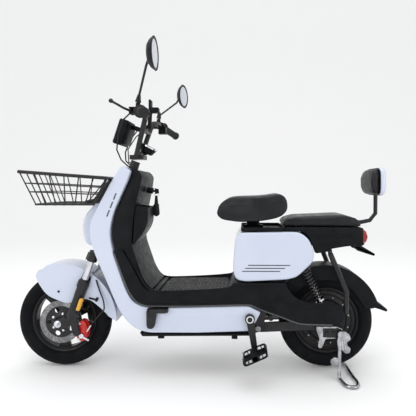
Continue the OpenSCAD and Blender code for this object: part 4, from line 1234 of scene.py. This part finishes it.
def pedal(name, tip, out):
    cage = trace(name, rounded(mm([(-50, -5), (-40, -13), (40, -13), (50, -5), (50, 5),
                                   (40, 13), (-40, 13), (-50, 5)]), 0.003), -0.041, 0.041)
    bevel(cage, 0.0018, 2, 40)
    rooms = [block("window", (x0, -0.032, -0.03), (x1, 0.032, 0.03))
             for x0, x1 in ((-0.042, -0.015), (0.015, 0.042))]
    rooms += [trace("end_window", rounded(mm(shape), 0.002), -0.06, 0.06)
              for shape in ([(-43, -6), (-30, -9), (-30, 9), (-43, 6)],
                            [(-27, -9), (-14, -9), (-14, 9), (-27, 9)],
                            [(14, -9), (27, -9), (27, 9), (14, 9)],
                            [(30, -9), (43, -6), (43, 6), (30, 9)])]
    cut_away(cage, rooms)
    cross = [block("cross_bar", (-0.044, -0.003, -0.0115), (0.044, 0.003, 0.0115), 0.001, 2)]
    barrel = bar("barrel", (0, -0.041, 0), (0, 0.041, 0), 0.0110)
    stub = bar("pedal_stub", (0, -out * 0.0405, 0), (0, -out * 0.057, 0), 0.0057)
    studs = [bar("stud", (x, y, 0.012), (x, y, 0.0150), 0.0018, sides=8)
             for x in (-0.046, 0.046) for y in (-0.030, 0.030)]
    studs += [bar("stud", (x, y, -0.012), (x, y, -0.0150), 0.0018, sides=8)
              for x in (-0.046, 0.046) for y in (-0.030, 0.030)]
    piece = join(name, [cage, *cross, barrel, stub, *studs])
    piece.data.transform(Matrix.Translation((tip[0], out * 0.191, tip[2]))
                         @ Matrix.Rotation(-PEDAL_TILT, 4, "Y"))
    smooth(piece, 35)
    return piece


fit(pedal("left_pedal_cage", CRANK_TIPS[0], -1), "pedal_left", satin_black, "black_plastic",
    "pedal_left")
fit(pedal("right_pedal_cage", CRANK_TIPS[1], 1), "pedal_right", satin_black, "black_plastic",
    "pedal_right")

# ---------------------------------------------------------------- footrests
# Fold-down footrests for the passenger, black painted plate on a hinge pin.
foot_plate = trace("left_footrest_plate", rounded(mm([
    (-200, 279), (-158, 279), (-160, 250), (-167, 214), (-178, 204), (-194, 206),
    (-199, 216)]), 0.006), -0.1462, -0.1372)
bevel(foot_plate, 0.002, 3, 40)
foot_grip = trace("foot_grip", rounded(mm([(-195, 262), (-166, 262), (-171, 220),
                                           (-193, 216)]), 0.005), -0.1480, -0.1455)
bevel(foot_grip, 0.0008, 2, 40)
foot_head = block("foot_head", (-0.160, -0.1462, 0.2665), (-0.1215, -0.1375, 0.2825), 0.003, 3)
foot_pin = bar("foot_pin", (-0.190, -0.142, 0.277), (-0.120, -0.142, 0.277), 0.0055)
left_rest = join("left_footrest_plate", [foot_plate, foot_grip, foot_head, foot_pin])
smooth(left_rest, 35)
right_rest = duplicate_mirrored(left_rest, "right_footrest_plate")
fit(left_rest, "footrest_left", black_enamel, "black_metal", "footrest_left")
fit(right_rest, "footrest_right", black_enamel, "black_metal", "footrest_right")

# ------------------------------------------------------------- centre stand
# One bent steel tube with cast cam plates, plated silver, turning on two brackets
# that are bolted to the swingarm.
stand_leg = mm([(577, -111, 176), (574, -113, 140), (571, -117, 110), (568, -123, 60),
                (566, -128, 20), (567, -132, 9.5), (571, -150, 7.1), (577, -178, 7.1),
                (588, -194, 7.1), (602, -197, 7.1), (620, -193, 7.1), (629, -176, 7.1),
                (632, -146, 7.1), (624, -110, 7.1)])
stand_path = stand_leg + [(x, -y, z) for x, y, z in reversed(stand_leg)]
stand_parts = [tube("stand_tube", stand_path, 0.007, resolution=5)]
cam_shape = rounded(mm([(570, 190), (594, 190), (612, 176), (617, 158), (600, 146), (602, 134),
                        (616, 122), (612, 104), (596, 100), (580, 116), (566, 112),
                        (562, 150)]), 0.006)
for out in (-1, 1):
    y0, y1 = sorted((out * 0.1085, out * 0.1170))
    cam = trace("cam_plate", cam_shape, y0, y1)
    bevel(cam, 0.002, 3, 40)
    stand_parts.append(cam)
    stand_parts.append(bar("cam_rib", (0.586, out * 0.116, 0.172), (0.596, out * 0.116, 0.112),
                           0.0045))
    stand_parts.append(bar("pivot_boss", (0.577, out * 0.1010, 0.177),
                           (0.577, out * 0.1195, 0.177), 0.0130, soft=0.002))
    stand_parts.append(bar("pivot_stub", (0.577, out * 0.0930, 0.177),
                           (0.577, out * 0.1020, 0.177), 0.0059))
stand_parts.append(trace("boss_link", rounded(mm([(540, 84), (548, 92), (574, 84), (572, 60),
                                                  (548, 54), (538, 62)]), 0.006),
                         -0.1240, -0.1170))
stand_parts.append(bar("foot_boss", (0.550, -0.1150, 0.072), (0.550, -0.1310, 0.072), 0.0175,
                       soft=0.003))
stand = join("centre_stand_frame", stand_parts)
smooth(stand, 35)
plated = finish("plated_steel", (0.26, 0.27, 0.28), (0.50, 0.51, 0.53), (0.14, 0.28), metal=1.0,
                grain=260, depth=0.12, size=0.0005, patch=40)
fit(stand, "stand", plated, "chrome", "centre_stand")
bracket_shape = rounded(mm([(482, 203), (562, 204), (590, 192), (590, 166), (566, 156),
                            (518, 152), (506, 120), (498, 114), (488, 120), (494, 156),
                            (482, 186)]), 0.005)
brackets = []
for out in (-1, 1):
    y0, y1 = sorted((out * 0.0945, out * 0.0998))
    side_plate = trace("stand_bracket", bracket_shape, y0, y1)
    bevel(side_plate, 0.0012, 2, 40)
    brackets.append(side_plate)
    y0, y1 = sorted((out * 0.0990, out * 0.1025))
    brackets.append(trace("bracket_lip", rounded(mm([(482, 203), (562, 204), (562, 198),
                                                     (482, 197)]), 0.001), y0, y1))
    pivot_room = [bar("pivot_room", (0.577, out * 0.08, 0.177), (0.577, out * 0.11, 0.177),
                      0.0062)]
    cut_away(side_plate, pivot_room)
bracket_pair = join("stand_brackets", brackets)
fit(bracket_pair, "swingarm", plated, "silver_steel", soft=35)
bracket_bolts = join("bracket_bolts", [
    turned("bolt", [(0, 0), (0.0075, 0), (0.0075, 0.003), (0.006, 0.005), (0, 0.005)],
           (x, out * 0.0996, 0.178), (0, out, 0), 6) for x in (0.524, 0.552)
    for out in (-1, 1)])
fit(bracket_bolts, "swingarm", black_enamel, "black_metal", soft=30)

# ---------------------------------------------------------------- headlight
# Square black housing with moulded cooling ribs and a clear lens, on a plastic arm.
LIGHT_AT = Vector((-0.334, 0, 1.003))
LIGHT_TURN = Matrix.Translation(LIGHT_AT) @ Matrix.Rotation(math.radians(18), 4, "Y")
housing = block("light_housing", (-0.018, -0.055, -0.055), (0.022, 0.055, 0.055), 0.007, 4)
step = block("light_step", (0.018, -0.046, -0.046), (0.032, 0.046, 0.046), 0.005, 3)
housing_room = [block("housing_room", (-0.03, -0.0492, -0.0492), (0.010, 0.0492, 0.0492))]
cut_away(housing, housing_room)
fins = [block("fin", (-0.010, -0.0562, z), (0.016, 0.0562, z + 0.004), 0.0008, 2)
        for z in (-0.040, -0.028, -0.016, -0.004, 0.008, 0.020, 0.032)]
light_arm = block("light_arm", (0.030, -0.012, 0.026), (0.0780, 0.012, 0.045), 0.003, 3)
housing = join("light_housing", [housing, step, *fins, light_arm])
housing.data.transform(LIGHT_TURN)
fit(housing, "steering", satin_black, "black_plastic", "headlight", soft=35)
clear_lens = finish("clear_lens", (0.50, 0.53, 0.57), (0.58, 0.61, 0.65), (0.08, 0.14),
                    coat=0.8, grain=120, depth=0.3, size=0.0012, patch=20)
light_lens = block("light_lens", (-0.0215, -0.0485, -0.0485), (-0.012, 0.0485, 0.0485), 0.003, 3)
lamp_cups = [turned("lamp_cup", [(0, 0), (0.017, 0.0), (0.018, 0.004), (0, 0.004)],
                    (-0.0235, y, z), (1, 0, 0), 32) for y in (-0.022, 0.022)
             for z in (-0.020, 0.020)]
light_lens = join("light_lens", [light_lens, *lamp_cups])
light_lens.data.transform(LIGHT_TURN)
fit(light_lens, "steering", clear_lens, "clear_lens", "headlight_lens", soft=35)

# ----------------------------------------------------------- instrument pod
# Round display in a black cup with a chrome bezel, on a foot between the risers.
POD_AT = Vector((-0.221, 0, 0.945))
POD_TILT = math.radians(29)
POD_AXIS = Vector((math.sin(POD_TILT), 0, math.cos(POD_TILT)))
pod_cup = turned("pod_cup", [(0, -0.034), (0.022, -0.034), (0.028, -0.030), (0.035, -0.008),
                             (0.0365, -0.004), (0.0365, -0.001), (0, -0.001)],
                 POD_AT, POD_AXIS, 48)
pod_face = turned("pod_face", [(0, -0.0015), (0.033, -0.0015), (0.033, -0.0004), (0, -0.0002)],
                  POD_AT, POD_AXIS, 48)
pod_foot = block("pod_foot", (-0.2478, -0.008, 0.9070), (-0.2322, 0.008, 0.9225), 0.002, 2)
pod = join("display_cup", [pod_cup, pod_face, pod_foot])
fit(pod, "steering", satin_black, "black_plastic", "instrument_pod", soft=35)
bezel = turned("display_bezel", [(0.0325, -0.0040), (0.0375, -0.0060), (0.0380, -0.0010),
                                 (0.0365, 0.0000), (0.0340, 0.0000), (0.0325, -0.0012),
                                 (0.0325, -0.0040)], POD_AT, POD_AXIS, 64)
fit(bezel, "steering", bright_chrome, "chrome", soft=50)

# -------------------------------------------------------------------- grips
# Ribbed rubber grips with a flange at the switch and a thicker end.
GRIP_IN = Vector((-0.208, -0.205, 1.058))
GRIP_OUT = Vector((-0.163, -0.330, 1.031))


def grip_profile(length):
    profile = [(0.0113, 0.004), (0.0250, 0.004), (0.0255, 0.006), (0.0250, 0.009),
               (0.0185, 0.012)]
    h = 0.016
    while h < length - 0.020:
        profile += [(0.0155, h), (0.0164, h + 0.0012), (0.0164, h + 0.0030),
                    (0.0155, h + 0.0042)]
        h += 0.0060
    profile += [(0.0175, length - 0.014), (0.0190, length - 0.010), (0.0190, length - 0.002),
                (0.0175, length), (0.0, length), (0.0, length - 0.0055),
                (0.0113, length - 0.0055), (0.0113, 0.004)]
    return profile


for name, body, node, out in (("left_grip", "steering", "grip_left", 1),
                              ("right_grip", "throttle", "throttle_grip", -1)):
    a = Vector((GRIP_IN.x, GRIP_IN.y * out, GRIP_IN.z))
    b = Vector((GRIP_OUT.x, GRIP_OUT.y * out, GRIP_OUT.z))
    piece = turned(name, grip_profile((b - a).length), a, b - a, 40)
    smooth(piece, 40)
    fit(piece, body, soft_rubber, "rubber", node)

# -------------------------------------------------------------- brake levers
# Cast levers with a ball at the end, on a pivot pin in each switch housing.


def brake_lever(name, out):
    blade = tube("blade", [(x, out * y, z) for x, y, z in mm([
        (-251, 192, 1064), (-262, 208, 1066), (-270, 236, 1069), (-274, 270, 1071),
        (-279, 300, 1072.5), (-282, 316, 1074)])], 0.0046, resolution=4)
    knuckle = bar("knuckle", (-0.249, out * 0.190, 1.0595), (-0.249, out * 0.190, 1.0685),
                  0.0090)
    pin = bar("pivot_pin", (-0.249, out * 0.190, 1.051), (-0.249, out * 0.190, 1.077), 0.0029)
    clear_selection()
    bpy.ops.mesh.primitive_uv_sphere_add(segments=24, ring_count=14, radius=0.0080,
                                         location=(-0.282, out * 0.318, 1.074))
    ball = bpy.context.object
    settle(ball)
    lever = join(name, [blade, knuckle, pin, ball])
    smooth(lever, 40)
    return lever


fit(brake_lever("left_lever_blade", -1), "lever_left", black_enamel, "black_metal",
    "brake_lever_left")
fit(brake_lever("right_lever_blade", 1), "lever_right", black_enamel, "black_metal",
    "brake_lever_right")

# ------------------------------------------------------------------- mirrors
# Round mirrors on thin steel stems with rubber boots: a domed black shell, a rim and
# silvered glass.
MIRROR_BALL = Vector((-0.144, -0.325, 1.229))
mirror_glass = finish("mirror_glass", (0.56, 0.60, 0.66), (0.60, 0.64, 0.70), (0.05, 0.08),
                      metal=0.55, grain=40, depth=0.0, size=0.0001, patch=6)


def mirror_head(out, inward):
    """Shell and glass of one mirror, turned inward about the ball."""
    centre = Vector((-0.127, out * 0.330, 1.236))
    shell = turned("shell", [(0, -0.024), (0.018, -0.0235), (0.036, -0.019), (0.049, -0.010),
                             (0.0575, 0.001), (0.0595, 0.0030), (0.0590, 0.0048),
                             (0.0560, 0.0055), (0.0500, 0.0050), (0.0495, 0.0015), (0, 0.0015)],
                   centre, (1, 0, 0), 56)
    glass = turned("glass", [(0, 0.0010), (0.0490, 0.0010), (0.0490, 0.0036), (0.036, 0.0040),
                             (0, 0.0044)], centre, (1, 0, 0), 56)
    ball_at = Vector((MIRROR_BALL.x, out * 0.325, MIRROR_BALL.z))
    cup = bar("socket", ball_at + Vector((0.0080, 0, 0)), ball_at + Vector((0.0150, 0, 0)),
              0.0130, soft=0.002)
    turn = Matrix.Translation(ball_at) @ Matrix.Rotation(inward, 4, "Z") \
        @ Matrix.Translation(-ball_at)
    shell = join("shell", [shell, cup])
    for piece in (shell, glass):
        piece.data.transform(turn)
    stem_way = Vector((-0.158, out * 0.312, 1.200)) - ball_at
    cut_away(shell, [bar("ball_room", ball_at - Vector((0, 0.0115, 0)),
                         ball_at + Vector((0, 0.0115, 0)), 0.0088),
                     bar("stem_room", ball_at, ball_at + 1.6 * stem_way, 0.0100, 0.0240)])
    for piece in (shell, glass):
        smooth(piece, 40)
    return shell, glass


for side, out, inward in (("left", -1, 0.0), ("right", 1, math.radians(-13))):
    shell, glass = mirror_head(out, inward)
    shell.name = side + "_mirror_shell"
    glass.name = side + "_mirror_glass"
    fit(shell, "mirror_" + side, satin_black, "black_plastic", "mirror_head_" + side)
    fit(glass, "mirror_" + side, mirror_glass, "chrome")
boots = []
for out in (-1, 1):
    boots.append(turned("stem_boot", [(0.0050, 0.030), (0.0065, 0.028), (0.0095, 0.010),
                                      (0.0115, 0.002), (0.0115, 0), (0.0095, 0)],
                        (-0.2215, out * 0.1848, 1.0985), (0.003, out * -0.004, 0.0265), 28))
stem_boots = join("stem_boots", boots)
fit(stem_boots, "steering", soft_rubber, "rubber", soft=40)

# --------------------------------------------------- bar clamps and switches
# Small fittings on the bar: a phone holder in the middle and push buttons on the
# switch housings, all moulded plastic.
bar_fittings = [
    block("holder_back", (-0.222, -0.020, 1.086), (-0.212, 0.020, 1.146), 0.004, 3),
    block("holder_jaw", (-0.214, -0.017, 1.090), (-0.180, 0.017, 1.112), 0.003, 3),
    bar("holder_post", (-0.2220, 0, 1.020), (-0.2190, 0, 1.090), 0.009),
    block("holder_clamp", (-0.252, -0.014, 1.0220), (-0.222, 0.014, 1.034), 0.003, 3)]
holder = join("phone_holder", bar_fittings)
fit(holder, "steering", satin_black, "black_plastic", soft=38)
green = finish("green_button", (0.01, 0.16, 0.03), (0.015, 0.20, 0.04), (0.3, 0.4), grain=500,
               depth=0.05, size=0.0002, patch=40)
green_dots = join("green_buttons", [
    block("button", (-0.1830, 0.158 + 0.0075 * k, 1.026), (-0.1806, 0.1635 + 0.0075 * k, 1.031),
          0.0006, 2) for k in range(3)])
fit(green_dots, "steering", green, "black_plastic", soft=40)

# ------------------------------------------------------------------ key fob
# A flat key in the lock with a leather fob hanging from its ring.
ring_piece = tube("key_ring", [(-0.190 + 0.009 * math.cos(math.tau * i / 12), 0,
                                0.736 + 0.009 * math.sin(math.tau * i / 12))
                               for i in range(12)], 0.0011, closed=True)
strap = trace("fob_strap", rounded(mm([(-197, 732), (-187, 732), (-183, 690), (-201, 688)]),
                                   0.004), -0.0022, 0.0022)
fob = trace("fob_case", rounded(mm([(-205, 694), (-181, 698), (-177, 650), (-190, 640),
                                    (-203, 646)]), 0.006), -0.0058, 0.0058)
bevel(strap, 0.0008, 2, 40)
bevel(fob, 0.0025, 3, 40)
fob = join("key_fob", [strap, fob])
smooth(fob, 35)
fit(ring_piece, "key", bright_chrome, "chrome")
fit(fob, "key", leatherette, "leather")

# --------------------------------------------------------- basket brackets
# Two bent steel plates carry the basket on the front of the steering head.
bracket_plates = []
for out in (-1, 1):
    y0, y1 = sorted((out * 0.0695, out * 0.0735))
    wing = trace("basket_wing", rounded(mm([(-478, 700), (-418, 700), (-352, 800),
                                            (-372, 806), (-430, 722), (-476, 712)]), 0.006),
                 y0, y1)
    bevel(wing, 0.001, 2, 40)
    bracket_plates.append(wing)
wings = join("basket_brackets", bracket_plates)
fit(wings, "frame", black_enamel, "black_metal", soft=35)

# ------------------------------------------------------------- side stripes
# Thin grey printed stripes on the white covers, laid on the surface.
stripe_grey = finish("stripe_grey", (0.055, 0.058, 0.066), (0.07, 0.074, 0.082), (0.2, 0.3),
                     coat=0.4, grain=900, depth=0.02, size=0.0001, patch=30)
stripes = []
for out in (-1, 1):
    y0, y1 = sorted((out * 0.1279, out * 0.1284))
    for k in range(3):
        low = 0.650 + 0.034 * k
        lean = 0.40
        stripes.append(trace("stripe", [(-0.366 + lean * (low - 0.650), low),
                                        (-0.360 + lean * (low - 0.650), low),
                                        (-0.350 + lean * (low - 0.650), low + 0.026),
                                        (-0.356 + lean * (low - 0.650), low + 0.026)], y0, y1))
    y0, y1 = sorted((out * 0.1269, out * 0.1274))
    for k in range(3):
        z = 0.430 + 0.012 * k
        stripes.append(trace("stripe", [(0.180 + 0.012 * k, z), (0.330 + 0.020 * k, z),
                                        (0.334 + 0.020 * k, z + 0.004),
                                        (0.182 + 0.012 * k, z + 0.004)], y0, y1))
stripe_set = join("side_stripes", stripes)
fit(stripe_set, "frame", stripe_grey, "black_plastic")

# ------------------------------------------------------ frame and inner parts
# The tube frame with its bearings, the battery and the controller inside the covers,
# and the belly pan below the floor.


def dress(material, *names):
    """Gives its finish to each frame part that shows as it is."""
    for name in names:
        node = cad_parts[name]
        node.data.materials.clear()
        node.data.materials.append(material)


dress(black_enamel, "main_frame")
dress(bright_steel, "frame_bearings", "motor_controller")
dress(satin_black, "battery_pack", "belly_pan")

# ------------------------------------------------------------- steering parts
# The forged crown, polished stanchions, bent bar, switch housings, cables and mirror
# stems, as they come from the frame.
dress(black_enamel, "fork_crown", "handlebar", "mirror_stems")
dress(bright_chrome, "stanchions")
dress(satin_black, "control_pods", "horn_button")
dress(soft_rubber, "control_cables")

# ------------------------------------------------------------ rear suspension
# The welded swingarm, the sprocket and the dampers, as they come from the frame.
dress(black_enamel, "swingarm", "shock_bodies")
dress(bright_steel, "rear_sprocket")
dress(bright_chrome, "shock_rods")

# ----------------------------------------------------- posts, basket and lock
# Plated seat post, bent backrest tube, welded wire basket, and the ignition lock with
# its key.
dress(bright_chrome, "seat_post")
dress(black_enamel, "backrest_tube", "basket")
dress(satin_black, "ignition_lock", "ignition_key")
